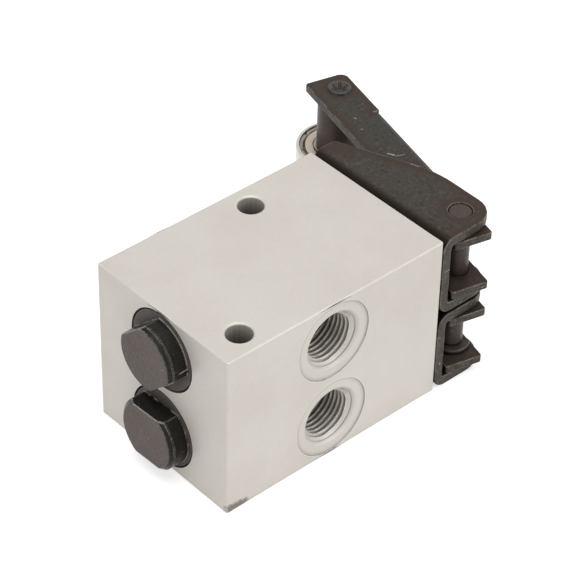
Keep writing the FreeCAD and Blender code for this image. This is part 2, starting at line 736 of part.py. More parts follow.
def lever(side, bore, outward):
    """A channel lever whose outer arm goes on as a tongue to the roller pin.

    In the body's own frame Y runs from the pivot towards the roller and X away from the block.
    """
    body = new_body("lever_" + side, bore)
    bind(body, "Placement.Base.x", "pivot_x")
    bind(body, "Placement.Base.y", "pivot_y")
    body.Placement.Rotation = FreeCAD.Rotation(Vector(0, 0, -1), number("lever_tilt"))
    bind(body, "Placement.Rotation.Angle", "lever_tilt")
    back = number("lever_back")
    inside = number("lever_inside")
    half = number("lever_height / 2")
    inner = number("lever_height / 2 - lever_sheet")
    plate = outline(body, "plate", [
        ("-lever_front", "lever_web_start"), ("lever_back", "lever_web_start"),
        ("lever_back", "lever_web_end"), ("-lever_front", "lever_web_end")],
        lift="-lever_height / 2")
    pad(body, plate, "lever_height")
    channel = outline(body, "channel", [
        ("-lever_front - 1", "lever_web_start - 1"), ("lever_inside", "lever_web_start - 1"),
        ("lever_inside", "lever_web_end + 1"), ("-lever_front - 1", "lever_web_end + 1")],
        lift="lever_height / 2 - lever_sheet")
    pocket(body, channel, "lever_height - 2 * lever_sheet")
    dress(body, "Fillet", "outer_bends", "lever_bend",
          lambda edge: along(edge, 1) and near(edge.CenterOfMass.x, back)
          and near(abs(edge.CenterOfMass.z), half))
    dress(body, "Fillet", "inner_bends", "lever_bend - lever_sheet",
          lambda edge: along(edge, 1) and near(edge.CenterOfMass.x, inside)
          and near(abs(edge.CenterOfMass.z), inner))
    # The flat tabs at both ends lap over the channel's arms, clear of its bends.
    tab_back = "lever_back - back_inset"
    lap_edge = "lever_back - lever_bend - bend_clearance"
    for mark, low in (("top", "lever_height / 2 - lever_sheet"), ("bottom", "-lever_height / 2")):
        heel = outline(body, "heel_" + mark, [
            ("-lever_heel_front", "-lever_heel"), (tab_back, "-lever_heel"),
            (tab_back, "lever_web_start"), (lap_edge, "lever_web_start"),
            (lap_edge, "lever_web_start + tab_lap"), ("-lever_front", "lever_web_start + tab_lap"),
            ("-lever_front", "lever_web_start")], lift=low)
        pad(body, heel, "lever_sheet")
    low = "lever_height / 2 - lever_sheet" if outward == "" else "-lever_height / 2"
    tongue = outline(body, "tongue", [
        ("-lever_front", "lever_web_end - tab_lap"), (lap_edge, "lever_web_end - tab_lap"),
        (lap_edge, "lever_web_end"), (tab_back, "lever_web_end"), (tab_back, "tongue_end"),
        ("-lever_front", "tongue_end")], lift=low)
    pad(body, tongue, "lever_sheet")
    end = number("tongue_end")
    dress(body, "Fillet", "tongue_back_corner", "tongue_back_round",
          lambda edge: along(edge, 2) and near(edge.CenterOfMass.y, end)
          and edge.CenterOfMass.x > 0)
    dress(body, "Fillet", "tongue_front_corner", "tongue_front_round",
          lambda edge: along(edge, 2) and near(edge.CenterOfMass.y, end)
          and edge.CenterOfMass.x < 0)
    dress(body, "Fillet", "heel_corners", "heel_round",
          lambda edge: along(edge, 2) and near(edge.CenterOfMass.y, -number("lever_heel")))
    for name, place, play in (("pivot", "0", "running_gap"),
                              ("roller", "roller_reach", "thread_gap / 2")):
        hole = circle(body, name + "_hole", ("0", place), "pin_radius + " + play,
                      lift="lever_height / 2 + 1")
        pocket(body, hole, "lever_height + 2")
    return body


def roller_body(label):
    """A body at the roller's centre, at mid-height between the valves."""
    body = new_body(label, "mid_level")
    bind(body, "Placement.Base.x", "roller_x")
    bind(body, "Placement.Base.y", "roller_y")
    return body


def roller_pin():
    """The long pin through both tongues, riveted flush at its ends."""
    body = roller_body("roller_pin")
    end = "(upper_bore - mid_level + lever_height / 2 + rivet_proud)"
    profile = outline(body, "profile", [
        ("0", "-" + end), ("pin_radius - rivet_proud", "-" + end),
        ("pin_radius", "-" + end + " + rivet_proud"), ("pin_radius", end + " - rivet_proud"),
        ("pin_radius - rivet_proud", end), ("0", end)], plane="XZ_Plane")
    turn(body, profile, "V_Axis")
    return body


def roller_sleeve(side, way):
    """A spacer tube on the pin between the bearing and one tongue."""
    body = roller_body("roller_sleeve_" + side)
    start = way + "(roller_width / 2 + running_gap)"
    end = way + "(upper_bore - mid_level + lever_height / 2 - lever_sheet - running_gap)"
    profile = outline(body, "profile", [
        ("ring_bore", start), ("sleeve_radius", start), ("sleeve_radius", end),
        ("ring_bore", end)], plane="XZ_Plane")
    turn(body, profile, "V_Axis")
    return body


def cut_race(body):
    """Cut the round ball race into a bearing ring."""
    race = circle(body, "race", ("ball_circle", "0"), "race_radius", plane="XZ_Plane")
    doc.recompute()
    before = body.Shape.Volume
    feature = body.newObject("PartDesign::Groove", race.Label + "_groove")
    feature.Profile = race
    feature.ReferenceAxis = (plane_of(body, "Z_Axis"), [""])
    feature.Angle = 360
    check_cut(body, before, feature)


def roller_inner_ring():
    """The ring on the pin, stepped down beside the race to clear the shields."""
    body = roller_body("roller_inner_ring")
    half = "roller_width / 2"
    step = "inner_ring_radius - shield_seat"
    profile = outline(body, "profile", [
        ("ring_bore", "-" + half), (step, "-" + half), (step, "-shield_shoulder"),
        ("inner_ring_radius", "-shield_shoulder"), ("inner_ring_radius", "shield_shoulder"),
        (step, "shield_shoulder"), (step, half), ("ring_bore", half)], plane="XZ_Plane")
    turn(body, profile, "V_Axis")
    cut_race(body)
    return body


def roller_outer_ring():
    """The running ring: rounded corners outside, a rebate for each shield inside."""
    body = roller_body("roller_outer_ring")
    half = "roller_width / 2"
    seat = "outer_ring_bore + shield_seat"
    corner = "ring_corner"
    profile = outline(body, "profile", [
        ("outer_ring_bore", "-shield_shoulder"), (seat, "-shield_shoulder"),
        (seat, "-" + half), ("roller_radius - " + corner, "-" + half),
        ("roller_radius", "-" + half + " + " + corner),
        ("roller_radius", half + " - " + corner), ("roller_radius - " + corner, half),
        (seat, half), (seat, "shield_shoulder"), ("outer_ring_bore", "shield_shoulder")],
        plane="XZ_Plane", arcs={3: corner, 5: corner})
    turn(body, profile, "V_Axis")
    cut_race(body)
    return body


def roller_shield(side, way):
    """A stepped steel shield that sits in the outer ring's rebate, clear of the inner ring."""
    body = roller_body("roller_shield_" + side)
    rim = way + "(shield_shoulder + running_gap%s)"
    rim_low = rim % ""
    rim_top = rim % " + shield_thickness"
    flat_low = rim % " + shield_step"
    flat_top = rim % " + shield_step + shield_thickness"
    bore = "inner_ring_radius - shield_seat + shield_bore_gap"
    edge = "outer_ring_bore + shield_seat - thread_gap"
    profile = outline(body, "profile", [
        (bore, flat_top), ("shield_step_radius", flat_top), ("shield_step_radius", rim_top),
        (edge, rim_top), (edge, rim_low), ("shield_step_radius - shield_thickness", rim_low),
        ("shield_step_radius - shield_thickness", flat_low), (bore, flat_low)],
        plane="XZ_Plane")
    turn(body, profile, "V_Axis")
    return body


def roller_balls():
    """The ring of balls, each free in its race."""
    body = roller_body("roller_balls")
    body.AllowCompound = True
    ball = body.newObject("PartDesign::AdditiveSphere", "ball")
    ball.AttachmentSupport = [(plane_of(body, "XY_Plane"), "")]
    ball.MapMode = "FlatFace"
    bind(ball, "AttachmentOffset.Base.x", "ball_circle")
    bind(ball, "Radius", "ball_radius")
    repeat_round(body, ball)
    return body


def roller_cage():
    """The cage: a thin hoop with a round pocket for each ball."""
    body = roller_body("roller_cage")
    profile = outline(body, "profile", [
        ("ball_circle - cage_half_width", "-cage_half_height"),
        ("ball_circle + cage_half_width", "-cage_half_height"),
        ("ball_circle + cage_half_width", "cage_half_height"),
        ("ball_circle - cage_half_width", "cage_half_height")], plane="XZ_Plane")
    turn(body, profile, "V_Axis")
    room = circle(body, "ball_room", ("0", "0"), "race_radius", plane="YZ_Plane",
                  lift="ball_circle + 2 * cage_half_width")
    repeat_round(body, pocket(body, room, "4 * cage_half_width"))
    return body


def repeat_round(body, feature):
    """Repeat a feature evenly round the body's Z axis, once for each ball."""
    doc.recompute()
    ring = body.newObject("PartDesign::PolarPattern", feature.Label + "_ring")
    ring.Originals = [feature]
    ring.Axis = (plane_of(body, "Z_Axis"), [""])
    ring.Angle = 360
    bind(ring, "Occurrences", "ball_count")
    body.Tip = ring


doc = FreeCAD.newDocument("mechanical_valve")
sheet = doc.addObject("Spreadsheet::Sheet", "Sizes")
for row, (alias, size) in enumerate(SIZES.items(), start=1):
    sheet.set("A%d" % row, alias)
    sheet.set("B%d" % row, str(size))
    sheet.setAlias("B%d" % row, alias)
doc.recompute()
fits = doc.addObject("App::VarSet", "Fits")
for alias, text in FITS.items():
    fits.addProperty("App::PropertyFloat", alias)
    bind(fits, alias, text)
doc.recompute()

pieces = [valve_body(), bracket_screws()]
for side, outward in (("upper", ""), ("lower", "-")):
    bore = side + "_bore"
    pieces.append(end_plug(side, bore))
    pieces.append(ring_seal("plug_oring_" + side, bore,
                            "plug_face + plug_flange + plug_ring_wire + 0.2", "plug_ring_wire",
                            "plug_thread_radius - plug_ring_wire - 0.02"))
    pieces.append(poppet(side, bore))
    pieces.append(poppet_seal(side, bore))
    pieces.append(coil_spring("poppet_spring_" + side, bore, "pocket_bottom", "cup_bottom",
                              "poppet_spring_radius", "poppet_spring_wire",
                              "poppet_spring_turns"))
    pieces.append(plunger(side, bore))
    pieces.append(coil_spring("plunger_spring_" + side, bore, "spring_seat", "collar_back",
                              "plunger_spring_radius", "plunger_spring_wire",
                              "plunger_spring_turns"))
    pieces.append(guide_bush(side, bore))
    pieces.append(ring_seal("bush_oring_" + side, bore,
                            "bush_end + bush_ring_from_end + bush_ring_wire + 0.2",
                            "bush_ring_wire", "spring_room_radius - bush_ring_wire - 0.02"))
    pieces.append(ring_seal("plunger_seal_" + side, bore,
                            "bush_end + plunger_ring_from_end + plunger_ring_wire + 0.15",
                            "plunger_ring_wire", "bush_bore + plunger_ring_wire + 0.02"))
    pieces.append(bracket(side, bore))
    pieces.append(pivot_pin(side, bore, outward))
    pieces.append(pivot_clip(side, bore, outward))
    pieces.append(lever(side, bore, outward))
    pieces.append(roller_sleeve(side, outward))
    pieces.append(roller_shield(side, outward))
pieces.append(roller_pin())
pieces.append(roller_inner_ring())
pieces.append(roller_outer_ring())
pieces.append(roller_balls())
pieces.append(roller_cage())
doc.recompute()

for item in doc.Objects:
    if "Invalid" in item.State or "Error" in item.State:
        raise ValueError("failed: %s %s" % (item.Label, item.State))
os.makedirs("parts", exist_ok=True)
for piece in pieces:
    shape = piece.Shape
    if shape.isNull() or not shape.isValid() or not shape.Solids:
        raise ValueError("not a valid solid: " + piece.Label)
    print("%-24s %2d solids  volume %9.2f" % (piece.Label, len(shape.Solids), shape.Volume))
for piece in pieces:
    piece.Shape.exportStep("parts/%s.step" % piece.Label)
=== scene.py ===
# %% [markdown]
# # A twin roller-lever valve
# This lesson dresses an engineering model of a small pneumatic valve: an aluminium block with
# threaded ports, two black plugs, folded sheet brackets and levers, and a ball bearing as roller.
# The frame that is loaded first holds every solid at its true place, in metres, with the origin
# in the middle of the block's base. Each step below makes one visible piece finer than its
# solid, or gives a finish to solids that are already right.

import json
import math

import bmesh
import bpy
import numpy as np
from mathutils import Matrix, Vector


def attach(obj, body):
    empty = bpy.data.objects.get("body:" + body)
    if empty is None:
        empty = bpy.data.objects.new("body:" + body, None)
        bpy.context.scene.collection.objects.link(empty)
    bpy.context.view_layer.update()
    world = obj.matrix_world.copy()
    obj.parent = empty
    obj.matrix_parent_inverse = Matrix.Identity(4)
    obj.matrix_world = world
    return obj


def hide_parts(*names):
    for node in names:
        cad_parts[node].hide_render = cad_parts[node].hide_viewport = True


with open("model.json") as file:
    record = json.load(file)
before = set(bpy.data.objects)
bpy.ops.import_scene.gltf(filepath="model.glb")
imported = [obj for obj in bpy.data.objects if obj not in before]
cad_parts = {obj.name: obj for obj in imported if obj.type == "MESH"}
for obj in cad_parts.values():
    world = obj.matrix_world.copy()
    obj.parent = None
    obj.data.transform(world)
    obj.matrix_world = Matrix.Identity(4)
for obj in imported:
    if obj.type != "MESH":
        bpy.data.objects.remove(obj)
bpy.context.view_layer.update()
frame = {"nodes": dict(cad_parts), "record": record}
scene = bpy.context.scene
print("solids in the frame:", len(frame["nodes"]))

# %% [markdown]
# ## Sizes
# The valve is 46 mm long, and all of its sizes are easier to read in millimetres. So every
# surface here is worked out in millimetres and becomes metres once, when its mesh is made.

# %% The block, the two bores and the roller
MM = 0.001
HALF_LENGTH = 23.0
HALF_WIDTH = 16.0
HEIGHT = 32.0
MIDDLE = HEIGHT / 2
HALF_SPACING = 8.15
BORES = {"upper": MIDDLE + HALF_SPACING, "lower": MIDDLE - HALF_SPACING}
OUTWARD = {"upper": 1.0, "lower": -1.0}
PIVOT = np.array([31.0, -11.7])
TILT = math.radians(14.0)
LEVER_REACH = 41.5
ROLLER = PIVOT + LEVER_REACH * np.array([math.sin(TILT), math.cos(TILT)])
print("roller centre at", ROLLER.round(2), "mm")

# %% [markdown]
# ## Surfaces from arrays
# A turned piece is a profile swept round an axis. A flat face with a hole is a blend from the
# hole's circle to the face's outline. A bend is a quarter of a circle pushed along a line. All
# three are grids of points: two counters run over the surface, and one formula gives every
# point at once. The faces are then quads between neighbours in the grid. Modelling by hand
# with extrusions would reach the same shapes, but a formula keeps the sizes exact.

# %% Quads between the points of a grid


def grid(points, wrap=False):
    """Flat list of points and the quads that join each to the next row and column.

    With wrap the last column is joined to the first.
    """
    rows, columns = points.shape[:2]
    last = columns if wrap else columns - 1
    i, j = np.meshgrid(np.arange(rows - 1), np.arange(last), indexing="ij")
    k = (j + 1) % columns
    corners = (i * columns + j, i * columns + k, (i + 1) * columns + k, (i + 1) * columns + j)
    return points.reshape(-1, 3), np.stack(corners, axis=-1).reshape(-1, 4)


print("quads between 3 x 4 points:", len(grid(np.zeros((3, 4, 3)))[1]))

# %% A profile turned round an axis

AXES = {
    "x": np.array([[1.0, 0, 0], [0, 1, 0], [0, 0, 1]]),
    "y": np.array([[0.0, 1, 0], [1, 0, 0], [0, 0, 1]]),
    "z": np.array([[0.0, 0, 1], [1, 0, 0], [0, 1, 0]]),
}


def circle_angles(count):
    """Evenly spaced angles, the full turn left out."""
    return np.arange(count) * (2 * math.pi / count)


def lathe(along, radius, angles, axis, centre, wrap=True):
    """Point (i, j) = centre + a_i * axis + r_ij * (cos t_j * first + sin t_j * second).

    along holds a_i. radius holds r_i, or r_ij where the surface isn't quite round. angles
    holds t_j.
    """
    way, first, second = AXES[axis]
    along = np.asarray(along, dtype=float)
    radius = np.asarray(radius, dtype=float)
    if radius.ndim == 1:
        radius = radius[:, None] * np.ones(len(angles))
    if along.ndim == 1:
        along = along[:, None] * np.ones(len(angles))
    around = np.cos(angles)[:, None] * first + np.sin(angles)[:, None] * second
    points = np.asarray(centre) + along[..., None] * way + radius[..., None] * around
    return grid(points, wrap)


print("quads of an eight-sided tube:", len(lathe([0, 9], [2, 2], circle_angles(8), "z", 0)[1]))

# %% Outlines with rounded corners

POINT_STEP = 0.6
CORNER_STEPS = 6


def corner_arc(before, corner, after, radius):
    """Points of the arc that rounds one corner, from the first tangent point to the second.

    The tangent points lie radius / tan(half the corner's angle) from the corner. The arc's
    points are even along the chord between them, each pushed out to the radius.
    """
    corner = np.array(corner, dtype=float)
    back = (np.array(before) - corner) / np.linalg.norm(np.array(before) - corner)
    on = (np.array(after) - corner) / np.linalg.norm(np.array(after) - corner)
    half = math.acos(np.clip(back @ on, -1, 1)) / 2
    middle = (back + on) / np.linalg.norm(back + on)
    centre = corner + middle * radius / math.sin(half)
    first = corner + back * radius / math.tan(half) - centre
    last = corner + on * radius / math.tan(half) - centre
    share = np.linspace(0, 1, CORNER_STEPS + 1)[:, None]
    blend = first * (1 - share) + last * share
    return centre + radius * blend / np.linalg.norm(blend, axis=1, keepdims=True)


def divisions(length):
    """How many even steps of at most the point step a length takes."""
    return max(1, math.ceil(length / POINT_STEP - 1e-9))


def outline(corners):
    """A closed run of points through the corners, each (x, y) or (x, y, radius).

    Straight sides are divided evenly, so two faces that share a side also share its points.
    """
    parts = []
    count = len(corners)
    for i, corner in enumerate(corners):
        if len(corner) == 3:
            parts.append(corner_arc(corners[i - 1][:2], corner[:2], corners[(i + 1) % count][:2],
                                    corner[2]))
        else:
            parts.append(np.array([corner], dtype=float))
    run = []
    for i, part in enumerate(parts):
        start, end = part[-1], parts[(i + 1) % count][0]
        share = np.linspace(0, 1, divisions(np.linalg.norm(end - start)) + 1)[1:-1, None]
        run += [part, start * (1 - share) + end * share]
    return np.concatenate(run)


print("points round a 9 mm square:", len(outline([(0, 0), (9, 0), (9, 9), (0, 9)])))

# %% A flat face with a round hole

RINGS = 4
CROWDING = 1.3


def holed(run, centre, radius):
    """Blend from a circle to an outline, and the angles of the circle's points.

    Point (k, j) = centre + (1 - w_k) * radius * d_j + w_k * (o_j - centre), where o_j is an
    outline point, d_j the direction to it from the centre, and w_k = (k / rings) ^ crowding,
    so the steps are shorter near the hole.
    """
    reach = run - np.array(centre)
    angles = np.arctan2(reach[:, 1], reach[:, 0])
    rim = radius * np.stack([np.cos(angles), np.sin(angles)], axis=-1)
    w = (np.linspace(0, 1, RINGS + 1) ** CROWDING)[:, None, None]
    return np.array(centre) + (1 - w) * rim + w * reach, angles


def placed(flat, order, level):
    """Lay flat points in space: order names the two axes that they run along."""
    points = np.full(flat.shape[:-1] + (3,), float(level))
    for part, name in enumerate(order):
        points[..., "xyz".index(name)] = flat[..., part]
    return points


print("rings of points round a hole:", len(holed(outline([(0, 0), (9, 0), (5, 9)]), (5, 3), 1)[0]))

# %% [markdown]
# ## From patches to a piece
# The patches of one piece share the points along their seams. Merging those gives a closed
# shell, which is then faced outwards. A Bevel modifier rounds the sharp edges, because a real
# machined or punched edge is never perfectly sharp and it is the rounded edge that catches the
# light. Sheet pieces are made as one outer skin, and Solidify gives them the sheet's thickness.

# %% Join, merge, face outwards and finish

SHARP = 28.0
MERGE = 2e-6
RIM_REACH = 1.4


def spots_of(mesh):
    """The mesh's points as rows of millimetres."""
    flat = np.empty(3 * len(mesh.vertices), dtype=np.float32)
    mesh.vertices.foreach_get("co", flat)
    return flat.reshape(-1, 3) / MM


def mark_rims(mesh, rim):
    """Store rim_near on each point: exp(-distance to the nearest rim point / rim reach)."""
    spots = spots_of(mesh)
    far = np.full(len(spots), 1e6)
    for part in np.array_split(spots[rim], 1 + len(rim) // 200):
        away = np.linalg.norm(spots[:, None] - part[None], axis=2).min(axis=1)
        far = np.minimum(far, away)
    store = mesh.attributes.new("rim_near", "FLOAT", "POINT")
    store.data.foreach_set("value", np.exp(-far / RIM_REACH).astype(np.float32))


def make_piece(name, patches, body, nodes, edge=0.0, wall=0.0, inside=None, limit=35.0,
               weights=None):
    """Make a mesh object from patches and tie it to its CAD body and nodes.

    edge is the rounding in millimetres of edges sharper than limit, or of those that weights
    picks. wall is a sheet's thickness, and inside a point that an open skin must face away from.
    """
    counts = np.cumsum([0] + [len(points) for points, _ in patches])
    points = np.concatenate([points for points, _ in patches]) * MM
    faces = np.concatenate([quads + start for (_, quads), start in zip(patches, counts)])
    mesh = bpy.data.meshes.new(name)
    mesh.from_pydata(points.tolist(), [], faces.tolist())
    work = bmesh.new()
    work.from_mesh(mesh)
    bmesh.ops.remove_doubles(work, verts=work.verts, dist=MERGE)
    bmesh.ops.dissolve_degenerate(work, edges=work.edges, dist=1e-7)
    bmesh.ops.recalc_face_normals(work, faces=work.faces)
    if inside is not None:
        heart = Vector(inside) * MM
        flow = sum(face.calc_area() * face.normal.dot(face.calc_center_median() - heart)
                   for face in work.faces)
        if flow < 0:
            bmesh.ops.reverse_faces(work, faces=work.faces)
    work.verts.index_update()
    rim = sorted({point.index for line in work.edges if line.is_boundary for point in line.verts})
    work.to_mesh(mesh)
    work.free()
    mesh.shade_smooth()
    mesh.set_sharp_from_angle(angle=math.radians(SHARP))
    piece = bpy.data.objects.new(name, mesh)
    scene.collection.objects.link(piece)
    if wall:
        skin = piece.modifiers.new("sheet thickness", "SOLIDIFY")
        skin.thickness = wall * MM
        skin.offset = -1.0
        skin.use_even_offset = True
        skin.material_offset_rim = 1
        mark_rims(mesh, rim)
    if weights is not None:
        ends = np.array([line.vertices[:] for line in mesh.edges])
        store = mesh.attributes.new("bevel_weight_edge", "FLOAT", "EDGE")
        store.data.foreach_set("value", weights(spots_of(mesh)[ends]).astype(np.float32))
    if edge:
        bevel = piece.modifiers.new("rounded edges", "BEVEL")
        bevel.width = edge * MM
        bevel.segments = 3
        bevel.limit_method = "ANGLE" if weights is None else "WEIGHT"
        bevel.angle_limit = math.radians(limit)
        bevel.use_clamp_overlap = False
        bevel.harden_normals = True
    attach(piece, body)
    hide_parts(*nodes)
    print("%-22s %6d faces, %d points on open edges" % (name, len(mesh.polygons), len(rim)))
    return piece


# %% Numbers stored on face corners


def paint(piece, name, formula):
    """Store formula(corner places, face centres) on every face corner, in millimetres."""
    mesh = piece.data
    index = np.empty(len(mesh.loops), dtype=np.int32)
    mesh.loops.foreach_get("vertex_index", index)
    centres = np.empty(3 * len(mesh.polygons), dtype=np.float32)
    mesh.polygons.foreach_get("center", centres)
    sides = np.empty(len(mesh.polygons), dtype=np.int32)
    mesh.polygons.foreach_get("loop_total", sides)
    centres = np.repeat(centres.reshape(-1, 3) / MM, sides, axis=0)
    values = formula(spots_of(mesh)[index], centres)
    store = mesh.attributes.new(name, "FLOAT", "CORNER")
    store.data.foreach_set("value", values.astype(np.float32))
    print("%s on %s: mean %.3f" % (name, piece.name, values.mean()))


# %% [markdown]
# ## The block
# The block is sawn from aluminium bar, milled, drilled and tapped. Its six faces are flat, so
# each is split into cells with one hole in every cell, and each cell is the blend from circle
# to outline. The bores and ports then hang on those circles like sleeves.

# %% The six faces

block = []
rims = {}


def cell(key, order, level, corners, centre, radius):
    """Add one face cell of the block and remember the angles of its hole."""
    flat, rims[key] = holed(outline(corners), centre, radius)
    block.append(grid(placed(flat, order, level), wrap=True))


SPLIT = -6.0
MOUNTS = {"near": (-16.9, -11.6), "far": (5.6, 11.6)}
OUTLET_X = -0.7
SUPPLY_X = -10.4
SPOTFACE = 7.5
COUNTERBORE = 7.5
BUSH_BORE = 6.0
HOLE_RIM = 2.6
for key, low, high in (("upper", MIDDLE, HEIGHT), ("lower", 0.0, MIDDLE)):
    level = BORES[key]
    x_run = [(-HALF_LENGTH, low), (SPLIT, low), (HALF_LENGTH, low), (HALF_LENGTH, high),
             (SPLIT, high), (-HALF_LENGTH, high)]
    y_run = [(-HALF_WIDTH, low), (HALF_WIDTH, low), (HALF_WIDTH, high), (-HALF_WIDTH, high)]
    cell("outlet_" + key, "xz", -HALF_WIDTH, x_run, (OUTLET_X, level), SPOTFACE)
    cell("supply_" + key, "xz", HALF_WIDTH, x_run, (SUPPLY_X, level), SPOTFACE)
    cell("plug_" + key, "yz", -HALF_LENGTH, y_run, (0.0, level), COUNTERBORE)
    cell("bush_" + key, "yz", HALF_LENGTH, y_run, (0.0, level), BUSH_BORE)
for level in (0.0, HEIGHT):
    for key, rear, front in (("near", -HALF_LENGTH, SPLIT), ("far", SPLIT, HALF_LENGTH)):
        run = [(rear, -HALF_WIDTH), (front, -HALF_WIDTH), (front, HALF_WIDTH), (rear, HALF_WIDTH)]
        cell(key, "xy", level, run, MOUNTS[key], HOLE_RIM)
print("face cells:", len(block))

# %% [markdown]
# ## Threads in the ports
# The ports have a pipe thread of 0.907 mm pitch. A thread is one ridge that climbs as it goes
# round, so the port's wall is a lathe surface whose radius also depends on the angle: the
# ridge's height is read from a wave at (depth / pitch + angle / full turn). A countersink cuts
# the first ridges off along a cone, and the last one fades where the tap stopped.

# %% The port's wall

PITCH = 0.907
START_TURN = 0.6
ROWS_PER_PITCH = 9
CREST = 4.285
ROOT = 4.865
TIP = 0.12
MOUTH = 5.62
SHELF = 0.2
FIRST_CUT = 0.75
CUT_HALF = 0.13
CUT_DEPTH = 0.1
CUT_SHADE = 1.6
THREAD_END = 8.4
FADE = 0.5
DRILL_END = 9.92
PASSAGE = 2.5
PASSAGE_END = {-1: 11.7, 1: 11.05}


def ridge(turns):
    """Height of the thread, 0 in the valley and 1 on the ridge, at a count of turns.

    The wave is a triangle with its tips cut flat, then smoothed: 3 h^2 - 2 h^3.
    """
    wave = np.abs((turns % 1.0) * 2 - 1)
    height = np.clip((wave - TIP) / (1 - 2 * TIP), 0, 1)
    return height * height * (3 - 2 * height)


def thread_wall(depth, angle, side):
    """Radius of the threaded wall, and its shade: how far below a full ridge it lies.

    The thread is root - (root - crest) * fade * ridge(start turn + depth / pitch + side * angle
    / full turn), and where the countersink's cone, mouth - (depth - shelf), is larger, it is
    the wall. The tap's first cut is a fine line round the cone, deepest at -45 degrees:
    cut = (1 - |depth - first cut| / cut half) * (1 + cos(angle + 45 degrees)) / 2. It makes the
    cone wider by cut depth * cut, and the cone's shade is cut shade * cut.
    """
    fade = np.clip((THREAD_END - depth) / FADE, 0, 1)
    climb = fade * ridge(START_TURN + depth / PITCH + side * angle / (2 * math.pi))
    thread = ROOT - (ROOT - CREST) * climb
    cut = np.clip(1 - np.abs(depth - FIRST_CUT) / CUT_HALF, 0, 1) * (
        1 + np.cos(angle + math.pi / 4)) / 2
    cone = MOUTH - (depth - SHELF) + CUT_DEPTH * cut
    return np.maximum(thread, cone), np.where(cone > thread, CUT_SHADE * cut, 1 - climb)


def port(side, x, level, angles):
    """A port's wall from its spotface down to the passage, on the -Y (-1) or +Y (1) side.

    The spotface's inner corner is a quarter circle with the shelf's depth as its radius. The
    thread has its own rows, and below it come the drill's cone and the passage.
    """
    turn = np.linspace(0, math.pi / 2, 6)
    run = np.arange(SHELF + 0.08, THREAD_END - 0.1, PITCH / ROWS_PER_PITCH)
    depth = np.concatenate([SHELF * np.sin(turn), [SHELF, SHELF, SHELF + 0.02], run,
                            [THREAD_END + 0.1, DRILL_END, PASSAGE_END[side], PASSAGE_END[side]]])
    before = np.concatenate([SPOTFACE + SHELF * (np.cos(turn) - 1), [6.6, 5.85, 5.7]])
    after = np.array([ROOT, PASSAGE, PASSAGE, 0.0])
    wide = np.ones(len(angles))
    wall, _ = thread_wall(run[:, None], angles, side)
    radius = np.concatenate([before[:, None] * wide, wall, after[:, None] * wide])
    return lathe(side * (HALF_WIDTH - depth), radius, angles, "y", (x, 0, level))


ports = [port(side, x, level, rims[kind + key]) for key, level in BORES.items()
         for side, x, kind in ((-1, OUTLET_X, "outlet_"), (1, SUPPLY_X, "supply_"))]
block += ports
print("points in each port:", [len(points) for points, _ in ports])

# %% [markdown]
# ## Bores and mounting holes
# Each bore is stepped: a counterbore for the plug's flange, the plug's thread, the poppet's
# room, the valve seat, the spring's room and the bush's thread. One profile holds all of it,
# and it joins the hole in the rear face to the hole in the front face.

# %% Stepped bores and screw holes

# Each step of a bore is (x, radius), from the rear face to the front face.
BORE_STEPS = np.array([
    (-HALF_LENGTH, COUNTERBORE), (-21, COUNTERBORE), (-21, 6.5), (-12.5, 6.5), (-12.5, 5.5),
    (-4.6, 5.5), (-4.6, 3.4), (-5.2, 3.4), (-5.2, 2.8), (-3.6, 2.8), (-3.6, 5.0), (6.0, 5.0),
    (12.0, 5.0), (12.0, BUSH_BORE), (HALF_LENGTH, BUSH_BORE)])
# The broken edge of a screw hole, each row (depth, radius). Both ends are the same.
HOLE = 2.25
HOLE_EDGE = np.array([(0, HOLE_RIM), (0.2, 2.3), (0.4, HOLE), (8, HOLE)])
hole_z = np.concatenate([HOLE_EDGE[:, 0], [MIDDLE], HEIGHT - HOLE_EDGE[::-1, 0]])
hole_r = np.concatenate([HOLE_EDGE[:, 1], [HOLE], HOLE_EDGE[::-1, 1]])
for key, level in BORES.items():
    block.append(lathe(*BORE_STEPS.T, rims["plug_" + key], "x", (0, 0, level)))
for key, (x, y) in MOUNTS.items():
    block.append(lathe(hole_z, hole_r, rims[key], "z", (x, y, 0)))


def block_edges(ends):
    """1 for the block's twelve long edges and 0 for everything else."""
    limits = np.array([HALF_LENGTH, HALF_WIDTH, MIDDLE])
    on = np.abs(np.abs(ends - [0, 0, MIDDLE]) - limits) < 1e-3
    return np.where(on.all(axis=1).sum(axis=1) >= 2, 1.0, 0.0)


valve_block = make_piece("valve_block", block, "housing", ["valve_body"],
                         edge=0.3, weights=block_edges)

# %% [markdown]
# ## Painted shade inside the holes
# Cut metal inside a hole sees little light, and the block's finish paints that shade into its
# colour with a number stored on its face corners: nothing in the open, more in the valleys of the
# thread, and more with depth. Corners are used instead of points, so a hole's rim stays a crisp
# line.

# %% Painted shade: how deep in a hole each corner lies

# Amounts of shade painted into the holes of the block.
SHELF_SHADE = 0.8
VALLEY_SHADE = 0.62
DOWN_SHADE = 0.12
DRILLED_SHADE = 0.4
DEEP_SHADE = 0.55
STREAK = 0.02


